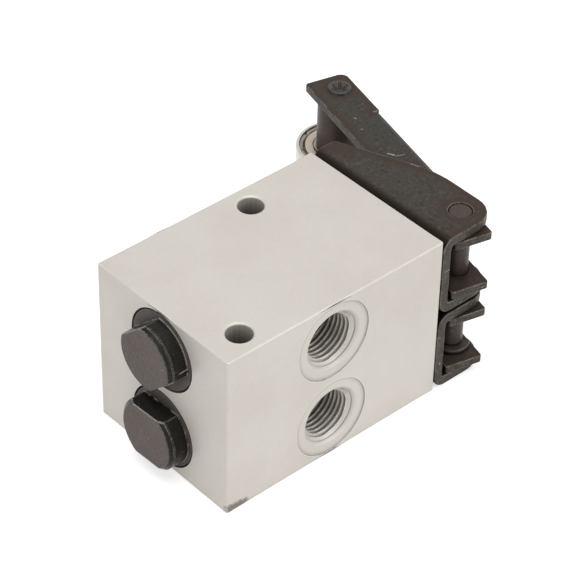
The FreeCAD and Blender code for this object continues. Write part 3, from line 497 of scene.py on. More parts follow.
def painted_shade(spots, centres):
    """Painted shade from 0 in the open to 1 in the dark, by the hole that a face belongs to.

    Spotface: grows to the shelf's shade over its rounded inner corner. Thread: valley shade *
    valley + down shade * (distance down the port). Screw holes: drilled shade + deep shade *
    (distance from the nearer end), with faint streaks that the drill left. Bores: over the
    first half millimetre.
    """
    shade = np.zeros(len(spots))
    for side, x in ((-1, OUTLET_X), (1, SUPPLY_X)):
        for level in BORES.values():
            across = spots[:, [0, 2]] - [x, level]
            far = np.hypot(across[:, 0], across[:, 1])
            depth = HALF_WIDTH - side * spots[:, 1]
            middle = HALF_WIDTH - side * centres[:, 1]
            inside = (np.hypot(centres[:, 0] - x, centres[:, 2] - level) < SPOTFACE + 0.01) & (
                middle > 0.01) & (middle < HALF_WIDTH - 0.5)
            _, valley = thread_wall(depth, np.arctan2(across[:, 1], across[:, 0]), side)
            valley = VALLEY_SHADE * valley + DOWN_SHADE * np.clip((depth - 2.0) / 5.0, 0, 1)
            shelf = np.clip((far - 7.15) / 0.35, 0, 1)
            port_shade = np.where(middle < SHELF + 1e-3, SHELF_SHADE * shelf, valley)
            shade = np.where(inside, np.where(middle > THREAD_END, 1.0, port_shade), shade)
    for x, y in MOUNTS.values():
        inside = (np.hypot(centres[:, 0] - x, centres[:, 1] - y) < HOLE_RIM + 0.01) & (
            np.abs(centres[:, 2] - MIDDLE) < MIDDLE - 0.01)
        depth = MIDDLE - np.abs(spots[:, 2] - MIDDLE)
        angle = np.arctan2(spots[:, 1] - y, spots[:, 0] - x)
        streak = STREAK * np.sin(17 * angle) + STREAK * np.sin(29 * angle + 1)
        dark = (DRILLED_SHADE + streak + DEEP_SHADE * np.clip(depth / 4.0, 0, 1)) * np.clip(
            (depth - 0.2) / 0.2, 0, 1)
        shade = np.where(inside, dark, shade)
    for level in BORES.values():
        inside = (np.hypot(centres[:, 1], centres[:, 2] - level) < COUNTERBORE + 0.01) & (
            np.abs(centres[:, 0]) < HALF_LENGTH - 0.01)
        shade = np.where(inside, np.clip((HALF_LENGTH - np.abs(spots[:, 0])) / 0.5, 0, 1), shade)
    return shade


# The block's painted shade in its holes, stored on its face corners.
paint(valve_block, "painted_shade", painted_shade)

# %% [markdown]
# ## End plugs
# Each plug is turned from bar, with two flats milled on its boss for a spanner. Its sections
# are circles with two sides cut off. The columns of the grid are shared out between the two
# flats and the two arcs, so the corners between them stay sharp along the whole boss.

# %% A turned boss with two flats

FLAT = 5.0
BOSS = 6.5
FACE = 5.75
FACE_X = -26.6
FOOT = 6.9
FLAT_POINTS = 16
# Flange, groove, threaded shank and its hollow end, each row (x, radius).
SHANK = ((-HALF_LENGTH, 7.1), (-22.75, 7.35), (-21, 7.35), (-21, 5.05), (-19.2, 5.05),
         (-19.2, 6.45), (-13.5, 6.45), (-13.5, 3.5), (-19, 3.5), (-19, 0))


def flatted(radius):
    """Section of a bar of this radius with two flats, as points (p, q) in order.

    The corner lies at the angle whose cosine is flat / radius. Between corners, arc points
    follow the circle and flat points the straight line p = flat.
    """
    corner = math.acos(FLAT / radius)
    share = np.arange(FLAT_POINTS) / FLAT_POINTS
    q = radius * math.sin(corner) * (2 * share - 1)
    arc = corner + share * (math.pi - 2 * corner)
    side = np.stack([np.full(FLAT_POINTS, FLAT), q], axis=-1)
    top = radius * np.stack([np.cos(arc), np.sin(arc)], axis=-1)
    return np.concatenate([side, top, -side, -top])


def end_plug(key, tilt):
    """Boss, flange and threaded shank of one plug, turned by tilt about its own axis.

    Each row is a place along the plug and a section. The rows run from the middle of the end
    face, over its bevelled rim and along the boss, and halfway from the boss to a circle at its
    foot. From there on they are circles.
    """
    base = flatted(BOSS)
    angle = np.arctan2(base[:, 1], base[:, 0])
    circle = np.stack([np.cos(angle), np.sin(angle)], axis=-1)
    rows = [(FACE_X, flatted(FACE) * w) for w in (0.0, 0.25, 0.5, 0.75, 0.93)]
    rows += [(FACE_X + (radius - FACE), flatted(radius)) for radius in (FACE, 5.95, 6.2, BOSS)]
    rows += [(x, base) for x in (-25.0, -23.2, -HALF_LENGTH)]
    rows += [(-HALF_LENGTH, (base + circle * FOOT) / 2)]
    rows += [(x, circle * radius) for x, radius in SHANK]
    x = np.array([row[0] for row in rows])[:, None] * np.ones(len(base))
    p = np.stack([row[1] for row in rows])
    turn = np.array([[math.cos(tilt), math.sin(tilt)], [-math.sin(tilt), math.cos(tilt)]])
    p = p @ turn + [0, BORES[key]]
    return make_piece("plug_" + key, [grid(np.dstack([x, p]), wrap=True)], "housing",
                      ["end_plug_" + key], edge=0.12, limit=30)


plugs = [end_plug("upper", math.radians(47)), end_plug("lower", math.radians(87))]

# %% [markdown]
# ## Brackets
# A bracket is a strip of 1.8 mm steel sheet folded into a C. Its web lies on the block and its
# two arms carry the pivot pin. The outer skin is made first: three cells for the web, each with
# a screw's or the bush's hole, two bends, and two arms, each a blend from the pivot hole to the
# arm's outline.

# %% Web, bends and arms

WEB_CUTS = (-16.1, -6.0, 6.0, 16.0)
WEB_HOLES = ((-10.0, 2.8), (0.0, 4.55), (10.0, 2.8))
WEB_HALF = 5.35
BRACKET_BEND = 2.5
BRACKET_SHEET = 1.8
ARM_START = HALF_LENGTH + BRACKET_BEND
ARM_END = 35.4
# The arm's front side slopes back between these two rounded corners, each (x, y, radius).
SLOPE = ((ARM_END, -1.382, 20.0), (28.2, 16.0, 1.0))
PIN_HOLE = 2.05


def bend(cuts, centre, radius, start, end, place):
    """Quarter tube: point (i, j) = place(centre + radius * (cos a_i, sin a_i), s_j)."""
    s = np.concatenate([np.linspace(a, b, divisions(b - a) + 1)[:-1]
                        for a, b in zip(cuts, cuts[1:])] + [[cuts[-1]]])
    a = np.linspace(start, end, 9)
    across = np.array(centre) + radius * np.stack([np.cos(a), np.sin(a)], axis=-1)
    u = across[:, None, 0] * np.ones(len(s))
    v = across[:, None, 1] * np.ones(len(s))
    return grid(place(u, v, s * np.ones(u.shape)))


def bracket(key):
    """The folded skin of one bracket, outer side of the sheet."""
    level = BORES[key]
    patches = []
    for low, high, (y, radius) in zip(WEB_CUTS, WEB_CUTS[1:], WEB_HOLES):
        run = outline([(low, -WEB_HALF), (high, -WEB_HALF), (high, WEB_HALF), (low, WEB_HALF)])
        flat, _ = holed(run, (y, 0.0), radius)
        patches.append(grid(placed(flat + [0, level], "yz", HALF_LENGTH), wrap=True))
    arm = outline([(ARM_START, WEB_CUTS[0]), (ARM_END, WEB_CUTS[0], 4.4), *SLOPE]
                  + [(ARM_START, y) for y in WEB_CUTS[:0:-1]])
    flat, _ = holed(arm, PIVOT, PIN_HOLE)
    for side in (1, -1):
        arm_z = level + side * (WEB_HALF + BRACKET_BEND)
        patches.append(grid(placed(flat, "xy", arm_z), wrap=True))
        patches.append(bend(
            WEB_CUTS, (ARM_START, WEB_HALF), BRACKET_BEND, math.pi, math.pi / 2,
            lambda u, v, s, side=side: np.stack([u, s, level + side * v], axis=-1)))
    return make_piece("bracket_sheet_" + key, patches, "housing", ["bracket_" + key],
                      edge=0.16, wall=BRACKET_SHEET, inside=(30, 0, level))


brackets = [bracket(key) for key in BORES]

# %% [markdown]
# ## Levers
# A lever is a channel of 1.5 mm sheet that is open towards the block. One arm goes on as a flat
# tongue to the roller's pin. It is worked out in the lever's own plane, with s along the lever
# from the pivot and w away from the block, and then turned by the lever's 14 degrees.

# %% The channel, the heels and the tongue

# Names that end in W are distances from the pivot's axis, away from the block.
LEVER_SHEET = 1.5
LEVER_BEND = 1.6
LEVER_HALF = 5.95
WEB_W = 3.4
BEND_W = WEB_W - LEVER_BEND
BEND_Z = LEVER_HALF - LEVER_BEND
FREE_W = -4.75
HEEL_W = -4.0
HEEL_END = -5.35
SIDE_W = 3.15
CHANNEL_START = 3.3
CHANNEL_END = 32.8
TONGUE_END = 45.5
RIVET_HOLE = 2.025


def lever_place(w, s, z):
    """Points in the valve's frame: pivot + w * (cos tilt, -sin tilt) + s * (sin tilt, cos tilt)."""
    x = PIVOT[0] + w * math.cos(TILT) + s * math.sin(TILT)
    y = PIVOT[1] - w * math.sin(TILT) + s * math.cos(TILT)
    return np.stack([x, y, z], axis=-1)


def strip(first, last, steps, place):
    """Patch of points place(u_i, s_j): u from first to last, s along the channel, both even."""
    u, s = np.meshgrid(np.linspace(first, last, steps + 1),
                       np.linspace(CHANNEL_START, CHANNEL_END,
                                   divisions(CHANNEL_END - CHANNEL_START) + 1), indexing="ij")
    return grid(place(u, s))


def lever(key):
    """The folded skin of one lever, outer side of the sheet."""
    level = BORES[key]
    heel = outline([(HEEL_W, HEEL_END, 0.5), (SIDE_W, HEEL_END, 0.5), (SIDE_W, CHANNEL_START),
                    (BEND_W, CHANNEL_START), (HEEL_W, CHANNEL_START)])
    tongue = outline([(FREE_W, CHANNEL_END), (HEEL_W, CHANNEL_END), (BEND_W, CHANNEL_END),
                      (SIDE_W, CHANNEL_END), (SIDE_W, TONGUE_END, 1.5),
                      (FREE_W, TONGUE_END, 0.5)])
    plates = {side: [holed(heel, (0.0, 0.0), PIN_HOLE)[0]] for side in (1, -1)}
    plates[OUTWARD[key]].append(holed(tongue, (0.0, LEVER_REACH), RIVET_HOLE)[0])
    patches = []
    for side in (1, -1):
        z = level + side * LEVER_HALF
        for a, b in ((FREE_W, HEEL_W), (HEEL_W, BEND_W)):
            patches.append(strip(a, b, divisions(b - a),
                                 lambda w, s, z=z: lever_place(w, s, np.full(w.shape, z))))
        patches.append(bend(
            (CHANNEL_START, CHANNEL_END), (BEND_W, BEND_Z), LEVER_BEND, math.pi / 2, 0.0,
            lambda u, v, s, side=side: lever_place(u, s, level + side * v)))
        for flat in plates[side]:
            patches.append(grid(
                lever_place(flat[..., 0], flat[..., 1], np.full(flat.shape[:-1], z)), wrap=True))
    patches.append(strip(-BEND_Z, BEND_Z, divisions(2 * BEND_Z),
                         lambda z, s: lever_place(np.full(z.shape, WEB_W), s, level + z)))
    heart = lever_place(np.array(-1.0), np.array(18.0), np.array(level))
    return make_piece("lever_sheet_" + key, patches, "levers", ["lever_" + key],
                      edge=0.16, wall=LEVER_SHEET, inside=heart)


levers = [lever(key) for key in BORES]

# %% [markdown]
# ## Pins, clips and sleeves
# The pivot pins end flush in the brackets. The long roller pin is riveted: its ends are spread
# with a punch that leaves a cup with six flutes. Such an end is a lathe surface whose height
# also depends on the angle, and the shade in its flutes is painted on its face corners.

# %% Pivot pins and clips

PIN = 2.0
GROOVE = (3.3, 4.3)
CLIP_Z = 3.95


def pivot_pin(key):
    """Pin with softly broken ends and the groove for its clip, in rows of (height, radius)."""
    first, last = sorted(OUTWARD[key] * end for end in GROOVE)
    tip = np.array([(-7.72, 0), (-7.72, 1.0), (-7.72, 1.8), (-7.55, PIN), (-6.0, PIN)])
    groove = np.array([(first, PIN), (first, 1.55), (last, 1.55), (last, PIN)])
    z, r = np.concatenate([tip, groove, tip[::-1] * [-1, 1]]).T
    return make_piece("pin_" + key, [lathe(z, r, circle_angles(64), "z", (*PIVOT, BORES[key]))],
                      "housing", ["pivot_pin_" + key], edge=0.05, limit=30)


def clip(key):
    """Open ring with a bevelled section, its two ends closed by flat caps."""
    middle = OUTWARD[key] * CLIP_Z
    section = np.array([(1.7, -0.33), (3.2, -0.33), (3.35, -0.18), (3.35, 0.18), (3.2, 0.33),
                        (1.7, 0.33)])
    angles = np.linspace(math.radians(50), math.radians(310), 73)
    r, z = np.append(section, section[:1], axis=0).T
    ring = lathe(z + middle, r, angles, "z", (*PIVOT, BORES[key]), wrap=False)
    caps = []
    for angle in angles[[0, -1]]:
        way = np.array([math.cos(angle), math.sin(angle)])
        flat = np.stack([np.append(PIVOT + r * way, BORES[key] + middle + z)
                         for r, z in section])
        caps.append(grid(np.stack([flat[:3], flat[:2:-1]])))
    return make_piece("clip_" + key, [ring] + caps, "housing", ["pivot_clip_" + key])


pins = [pivot_pin(key) for key in BORES]
clips = [clip(key) for key in BORES]

# %% The riveted roller pin and its sleeves

FLUTES = 6
FLUTE_START = math.radians(47)
FLUTE_DEPTH = 0.3
FLUTE_SIDE = 0.24
SWELL = 0.008
HEAD_FOOT = 14.1
# The head without its flutes, each row (radius, height over its foot).
HEAD = np.array([(0, -0.75), (0.3, -0.6), (0.7, -0.3), (1.1, 0.03), (1.45, 0.3), (1.62, 0.4),
                 (1.78, 0.42), (1.95, 0.36), (2.08, 0.25), (2.16, 0.13), (2.2, 0.02)])


def riveted_end(way, angles):
    """Heights and radii of a riveted head, from the pole down to the pin's side.

    A flute comes every full turn / flutes. It lowers the cup's wall by its depth, and by less
    from 0.1 mm off its middle line to nothing at 0.34 mm, the distance to that line being
    radius * sin(turn to the flute). The rim swells a little between the flutes.
    """
    step = 2 * math.pi / FLUTES
    turn = (angles - FLUTE_START + step / 2) % step - step / 2
    radius = np.concatenate([np.linspace(0, 1.9, 24), [1.98, 2.06, 2.12, 2.17, 2.2]])
    flute = np.clip((radius - 0.2) / 0.5, 0, 1) * np.clip((1.75 - radius) / 0.2, 0, 1)
    across = np.abs(radius[:, None] * np.sin(turn))
    height = np.interp(radius, *HEAD.T)[:, None] - FLUTE_DEPTH * flute[:, None] * np.clip(
        1.4 - across / FLUTE_SIDE, 0, 1)
    bulge = np.clip((radius - 1.8) / 0.3, 0, 1)
    radius = radius[:, None] * (1 - SWELL * bulge[:, None] * np.cos(turn * FLUTES))
    foot = np.ones((2, len(angles)))
    return (way * (HEAD_FOOT + np.concatenate([height, foot * [[0.01], [-0.2]]])),
            np.concatenate([radius, foot * PIN]))


def roller_pin():
    """The pin through both tongues, both ends riveted."""
    angles = circle_angles(180)
    (high_z, high_r), (low_z, low_r) = riveted_end(1, angles), riveted_end(-1, angles)
    z = np.concatenate([high_z, low_z[::-1]])
    r = np.concatenate([high_r, low_r[::-1]])
    return make_piece("rivet_pin", [lathe(z, r, angles, "z", (*ROLLER, MIDDLE))], "levers",
                      ["roller_pin"])


def sleeve(key):
    """Spacer tube between the bearing and one tongue, in rows of (height, radius)."""
    z, r = np.array([(2.05, RIVET_HOLE), (2.05, 3.65), (2.2, 3.8), (7.0, 3.8), (12.4, 3.8),
                     (12.55, 3.65), (12.55, RIVET_HOLE), (2.05, RIVET_HOLE)]).T
    wall = lathe(OUTWARD[key] * z, r, circle_angles(72), "z", (*ROLLER, MIDDLE))
    return make_piece("spacer_" + key, [wall],
                      "levers", ["roller_sleeve_" + key], edge=0.05, limit=30)


def fluted(spots, centres):
    """Painted shade of the rivets: in the flutes, down the cup and on the head's outer side."""
    far = np.hypot(spots[:, 0] - ROLLER[0], spots[:, 1] - ROLLER[1])
    height = np.abs(spots[:, 2] - MIDDLE) - HEAD_FOOT
    flute = np.clip((np.interp(far, *HEAD.T) - height) / 0.25, 0, 1)
    flute *= np.clip((far - 0.35) / 0.4, 0, 1)
    cup = np.where(far < 1.7, np.maximum(0.5 * flute, 0.1 * np.clip(-height, 0, 1)), 0)
    side = np.clip((0.33 - height) / 0.12, 0, 1)
    return np.where(far > 1.95, side * (height > -0.05), cup)


rivet_pin = roller_pin()
# The rivet heads' painted shade, stored on their face corners.
paint(rivet_pin, "painted_shade", fluted)
sleeves = [sleeve(key) for key in BORES]

# %% [markdown]
# ## The roller bearing
# The roller is a small ball bearing. Its outer ring is ground and polished, and a pressed
# shield closes each side. The ring's inner step is crimped over the shield with eight short
# dents. The ring's corners are part of its profile here, because a bearing's corner is a
# true arc and the light runs round it in one clean line.

# %% Outer ring and shields

CRIMPS = 8
CRIMP_START = math.radians(15)
CRIMP_DEPTH = 0.22
RING_CORNER = 0.25


def crimps(angles):
    """Short dents in the ring's step: depth * cos((angle - start) * crimps / 2) ^ 40."""
    return CRIMP_DEPTH * np.cos((angles - CRIMP_START) * CRIMPS / 2) ** 40


def outer_ring():
    """Ring: a quarter circle at each outer corner, a face, and a step with its crimps."""
    turn = np.linspace(0, math.pi / 2, 7)
    corner_r = 7.2 + RING_CORNER * np.sin(turn)
    corner_z = 1.75 + RING_CORNER * np.cos(turn)
    step_r = np.array([6.2, 6.2, 6.28, 6.5, 6.72, 6.8, 6.86])
    step_z = np.array([1.4, 1.6, 1.68, 1.7, 1.7, 1.92, 2.0])
    r = np.concatenate([step_r, corner_r, corner_r[::-1], step_r[::-1], [6.2]])
    z = np.concatenate([step_z, corner_z, -corner_z[::-1], -step_z[::-1], [1.4]])
    angles = circle_angles(320)
    on_step = ((r > 6.15) & (r < 6.75) & (np.abs(z) > 1.5)).astype(float)
    height = z[:, None] - np.sign(z)[:, None] * on_step[:, None] * crimps(angles)
    return make_piece("roller_ring", [lathe(height, r, angles, "z", (*ROLLER, MIDDLE))],
                      "roller", ["roller_outer_ring"])


def shield(key):
    """A pressed shield: a raised flat ring with a groove round it, in rows of (radius, height)."""
    r, z = np.array([(4.45, 1.78), (4.47, 1.83), (4.55, 1.85), (5.0, 1.85), (5.6, 1.85),
                     (5.76, 1.82), (5.84, 1.72), (5.88, 1.52), (5.95, 1.47), (6.17, 1.47),
                     (6.18, 1.42), (5.5, 1.42), (5.5, 1.55), (4.45, 1.6), (4.45, 1.78)]).T
    return make_piece("shield_" + key,
                      [lathe(OUTWARD[key] * z, r, circle_angles(160), "z", (*ROLLER, MIDDLE))],
                      "roller", ["roller_shield_" + key])


ring = outer_ring()
shields = [shield(key) for key in BORES]

# %% [markdown]
# ## Shared effects
# Most finishes here have the same things in different amounts: fine grain, small marks from
# handling, edges rubbed lighter with a painted highlight, and shade painted into the corners.
# Each of these is a node group with its own numbers, placed in every material that needs it.
# Painting them on an image would look the same from afar, but a group works at any size and needs
# no unwrapping.

# %% Small helpers for nodes


def new_group(name, inputs, outputs):
    """An empty shader group with number or vector inputs and number outputs."""
    group = bpy.data.node_groups.new(name, "ShaderNodeTree")
    for label, value in inputs.items():
        kind = "NodeSocketVector" if isinstance(value, tuple) else "NodeSocketFloat"
        socket = group.interface.new_socket(label, in_out="INPUT", socket_type=kind)
        socket.default_value = value
    for label in outputs:
        group.interface.new_socket(label, in_out="OUTPUT", socket_type="NodeSocketFloat")
    nodes = group.nodes
    given, put = nodes.new("NodeGroupInput"), nodes.new("NodeGroupOutput")
    return group, nodes, group.links, given.outputs, put.inputs


def object_place(nodes):
    """Where a point lies on its object, which is also its place in the frame at rest."""
    return nodes.new("ShaderNodeTexCoord").outputs["Object"]


def feed(links, socket, value):
    """Link a socket to another, or set it to a plain number or vector."""
    if isinstance(value, (int, float, tuple)):
        socket.default_value = value
    elif value is not None:
        links.new(value, socket)


def math_node(nodes, links, operation, first, second, clamp=False):
    """The output of a Math node that is fed by sockets or plain numbers."""
    node = nodes.new("ShaderNodeMath")
    node.operation = operation
    node.use_clamp = clamp
    feed(links, node.inputs[0], first)
    feed(links, node.inputs[1], second)
    return node.outputs[0]


def vector_node(nodes, links, operation, first, second=None, result="Vector"):
    """One output of a Vector Math node that is fed by sockets or plain vectors."""
    node = nodes.new("ShaderNodeVectorMath")
    node.operation = operation
    feed(links, node.inputs[0], first)
    feed(links, node.inputs[1], second)
    return node.outputs[result]


def smooth_range(nodes, links, value, low, high):
    """A soft step from 0 at low to 1 at high."""
    node = nodes.new("ShaderNodeMapRange")
    node.interpolation_type = "SMOOTHSTEP"
    feed(links, node.inputs["From Min"], low)
    feed(links, node.inputs["From Max"], high)
    links.new(value, node.inputs["Value"])
    return node.outputs["Result"]


def noise_node(nodes, links, vector, scale, detail, rough=0.55):
    """A Noise texture on a vector, with its scale a number or a socket, mostly about 0.5."""
    node = nodes.new("ShaderNodeTexNoise")
    node.inputs["Detail"].default_value = detail
    node.inputs["Roughness"].default_value = rough
    feed(links, node.inputs["Scale"], scale)
    links.new(vector, node.inputs["Vector"])
    return node.outputs["Fac"]


# %% Grain, edge wear with painted highlight, and painted corner shade


def build_grain():
    """Fine grain, coarser mottling and broad clouds on object coordinates, each about 0.5."""
    group, nodes, links, given, put = new_group(
        "grain", {"Fine scale": 5000.0, "Speck scale": 1700.0, "Broad scale": 80.0},
        ["Fine", "Speck", "Broad"])
    place = object_place(nodes)
    for label, detail, rough in (("Speck", 4.0, 0.7), ("Fine", 3.0, 0.55), ("Broad", 5.0, 0.55)):
        noise = noise_node(nodes, links, place, given[label + " scale"], detail, rough)
        links.new(noise, put[label])
    return group


def build_edge_wear_and_highlight():
    """Where the surface turns within Radius, broken up by noise: the rubbed edge and painted
    highlight.
    """
    group, nodes, links, given, put = new_group(
        "edge_wear_and_highlight", {"Radius": 0.0003, "Amount": 1.0, "Patch scale": 450.0, "Bare": 0.42},
        ["Mask"])
    bevel = nodes.new("ShaderNodeBevel")
    bevel.samples = 8
    links.new(given["Radius"], bevel.inputs["Radius"])
    true = nodes.new("ShaderNodeNewGeometry").outputs["True Normal"]
    dot = vector_node(nodes, links, "DOT_PRODUCT", bevel.outputs["Normal"], true, "Value")
    turned = math_node(nodes, links, "SUBTRACT", 1.0, dot)
    edge = smooth_range(nodes, links, turned, 0.004, 0.05)
    place = object_place(nodes)
    patch = noise_node(nodes, links, place, given["Patch scale"], 6.0, 0.65)
    end = math_node(nodes, links, "ADD", given["Bare"], 0.16)
    worn_and_highlight = smooth_range(nodes, links, patch, given["Bare"], end)
    mask = math_node(nodes, links, "MULTIPLY", edge, worn_and_highlight)
    mask = math_node(nodes, links, "MULTIPLY", mask, given["Amount"], clamp=True)
    links.new(mask, put["Mask"])
    return group


def build_corner_shade():
    """Where nearby surfaces shut the sky out within Distance: the shade that is painted there."""
    group, nodes, links, given, put = new_group(
        "corner_shade", {"Distance": 0.002, "Amount": 1.0}, ["Mask"])
    closed = nodes.new("ShaderNodeAmbientOcclusion")
    closed.samples = 8
    links.new(given["Distance"], closed.inputs["Distance"])
    shut = math_node(nodes, links, "SUBTRACT", 1.0, closed.outputs["AO"])
    mask = smooth_range(nodes, links, shut, 0.12, 0.85)
    mask = math_node(nodes, links, "MULTIPLY", mask, given["Amount"], clamp=True)
    links.new(mask, put["Mask"])
    return group


# %% Scuffs, single scratches and ring bands


def build_scuffs():
    """Short thin scratches in two directions and small specks, as one mask."""
    group, nodes, links, given, put = new_group("scuffs", {"Scale": 90.0, "Amount": 1.0}, ["Mask"])
    place = object_place(nodes)
    marks = []
    for turn, stretch in (((0.3, 0.2, 0.7), (1.0, 14.0, 14.0)),
                          ((0.9, -0.4, -0.5), (16.0, 1.0, 16.0))):
        mapping = nodes.new("ShaderNodeMapping")
        mapping.inputs["Rotation"].default_value = turn
        mapping.inputs["Scale"].default_value = stretch
        links.new(place, mapping.inputs["Vector"])
        fine = noise_node(nodes, links, mapping.outputs["Vector"], given["Scale"], 2.0)
        marks.append(smooth_range(nodes, links, fine, 0.70, 0.76))
    specks = noise_node(nodes, links, place, 1400.0, 2.0)
    marks.append(smooth_range(nodes, links, specks, 0.74, 0.78))
    total = math_node(nodes, links, "MAXIMUM", marks[0], marks[1])
    total = math_node(nodes, links, "MAXIMUM", total, marks[2])
    total = math_node(nodes, links, "MULTIPLY", total, given["Amount"], clamp=True)
    links.new(total, put["Mask"])
    return group


def build_scratch():
    """One ragged mark along the line from Start to End.

    With t = the place's share of the way along the line, held between 0 and 1, the mark fades
    out where distance to (Start + t * line), stretched by noise, reaches Width.
    """
    group, nodes, links, given, put = new_group(
        "scratch", {"Start": (0.0, 0.0, 0.0), "End": (0.0, 0.0, 0.01), "Width": 0.0002}, ["Mask"])
    place = object_place(nodes)
    start = given["Start"]
    line = vector_node(nodes, links, "SUBTRACT", given["End"], start)
    reach = vector_node(nodes, links, "SUBTRACT", place, start)
    along = vector_node(nodes, links, "DOT_PRODUCT", reach, line, "Value")
    whole = vector_node(nodes, links, "DOT_PRODUCT", line, line, "Value")
    share = math_node(nodes, links, "DIVIDE", along, whole, clamp=True)
    foot = nodes.new("ShaderNodeVectorMath")
    foot.operation = "SCALE"
    links.new(line, foot.inputs[0])
    links.new(share, foot.inputs["Scale"])
    away = vector_node(nodes, links, "SUBTRACT", reach, foot.outputs[0])
    far = vector_node(nodes, links, "LENGTH", away, None, "Value")
    ragged = noise_node(nodes, links, place, 2200.0, 3.0)
    ragged = math_node(nodes, links, "MULTIPLY", ragged, 2.0)
    far = math_node(nodes, links, "MULTIPLY", far, ragged)
    core = math_node(nodes, links, "MULTIPLY", given["Width"], 0.35)
    faded = smooth_range(nodes, links, far, core, given["Width"])
    links.new(math_node(nodes, links, "SUBTRACT", 1.0, faded), put["Mask"])
    return group


def build_ring_band():
    """1 between two radii round the roller's axis, 0 elsewhere, with soft edges."""
    group, nodes, links, given, put = new_group(
        "ring_band", {"Inner": 0.005, "Outer": 0.006}, ["Mask"])
    place = object_place(nodes)
    centre = (*(ROLLER * MM).tolist(), 0.0)
    reach = vector_node(nodes, links, "SUBTRACT", place, centre)
    flat = vector_node(nodes, links, "MULTIPLY", reach, (1.0, 1.0, 0.0))
    far = vector_node(nodes, links, "LENGTH", flat, None, "Value")
    soft = 0.06 * MM
    start = math_node(nodes, links, "SUBTRACT", given["Inner"], soft)
    end = math_node(nodes, links, "ADD", given["Outer"], soft)
    begun = smooth_range(nodes, links, far, start, given["Inner"])
    over = smooth_range(nodes, links, far, given["Outer"], end)
    links.new(math_node(nodes, links, "SUBTRACT", begun, over, clamp=True), put["Mask"])
    return group


GROUPS = {"grain": build_grain(), "edge_wear_and_highlight": build_edge_wear_and_highlight(), "corner_shade": build_corner_shade(),
          "scuffs": build_scuffs(), "scratch": build_scratch(), "ring_band": build_ring_band()}
print("node groups:", ", ".join(GROUPS))

# %% [markdown]
# ## Materials
# Every finish is a Principled shader. A base colour is clouded by the broad grain, then covered
# in layers: colours where a mask says so, some of them painted shade in holes and along bends,
# painted shade in the corners, and the worn colour on edges, where it is also a painted
# highlight, and on scuffs. Roughness and bump come from the fine grain. The numbers were set
# against the photograph under the plain light below.

# %% Masks for the layers


def use_group(nodes, links, name, **given):
    """Place a shared group and set its inputs. In a name, _ stands for a space."""
    node = nodes.new("ShaderNodeGroup")
    node.node_tree = GROUPS[name]
    for label, value in given.items():
        feed(links, node.inputs[label.replace("_", " ")], value)
    return node.outputs


def attribute_value(nodes, name):
    """A number stored on the piece's mesh."""
    node = nodes.new("ShaderNodeAttribute")
    node.attribute_name = name
    return node.outputs["Fac"]


def stored(name):
    """Mask from a stored number, with a soft start and end."""
    def build(nodes, links):
        return smooth_range(nodes, links, attribute_value(nodes, name), 0.0, 1.0)
    return build


def stained(name, scale, low, high):
    """Mask from a stored number, raised and lowered by noise so that its edge is ragged."""
    def build(nodes, links):
        noise = noise_node(nodes, links, object_place(nodes), scale, 6.0, 0.7)
        total = math_node(nodes, links, "ADD", attribute_value(nodes, name), noise)
        return smooth_range(nodes, links, total, low, high)
    return build


def scratched(start, end, width):
    """Mask of one mark, its ends and width in millimetres."""
    def build(nodes, links):
        return use_group(nodes, links, "scratch", Start=tuple(v * MM for v in start),
                         End=tuple(v * MM for v in end), Width=width * MM)["Mask"]
    return build


def near_block(whole, none):
    """Mask along the valve: 1 up to x = whole and 0 from x = none, in millimetres."""
    def build(nodes, links):
        split = nodes.new("ShaderNodeSeparateXYZ")
        links.new(object_place(nodes), split.inputs[0])
        away = smooth_range(nodes, links, split.outputs["X"], whole * MM, none * MM)
        return math_node(nodes, links, "SUBTRACT", 1.0, away)
    return build


def banded(inner, outer):
    """Mask between two radii round the roller's axis, in millimetres."""
    def build(nodes, links):
        return use_group(nodes, links, "ring_band", Inner=inner * MM, Outer=outer * MM)["Mask"]
    return build


# %% One recipe with different numbers

ROUGH_SPREAD = 0.12
BUMP_HEIGHT = 0.05 * MM
BRIGHTEST = 0.9
USUAL = {"metallic": 0.0, "wear_and_highlight": 0.5, "scuff": 0.3, "radius": 0.0003, "bump": 0.05,
         "fine": 5000.0, "broad": 80.0, "bare": 0.42, "corner_shade": 0.6,
         "corner_shade_colour": (0.02, 0.018, 0.015), "distance": 0.002, "mottle": 0.1,
         "specular": 0.5, "layers": []}


def cover(nodes, links, below, colour, mask):
    """Lay a plain colour over another one, or over a socket's colour, where the mask is 1."""
    node = nodes.new("ShaderNodeMix")
    node.data_type = "RGBA"
    links.new(mask, node.inputs["Factor"])
    feed(links, node.inputs["A"], below)
    node.inputs["B"].default_value = (*colour, 1)
    return node.outputs["Result"]


def shifted(colour, factor):
    """A colour made darker or lighter, but never brighter than a painted surface."""
    return tuple(min(BRIGHTEST, factor * value) for value in colour)


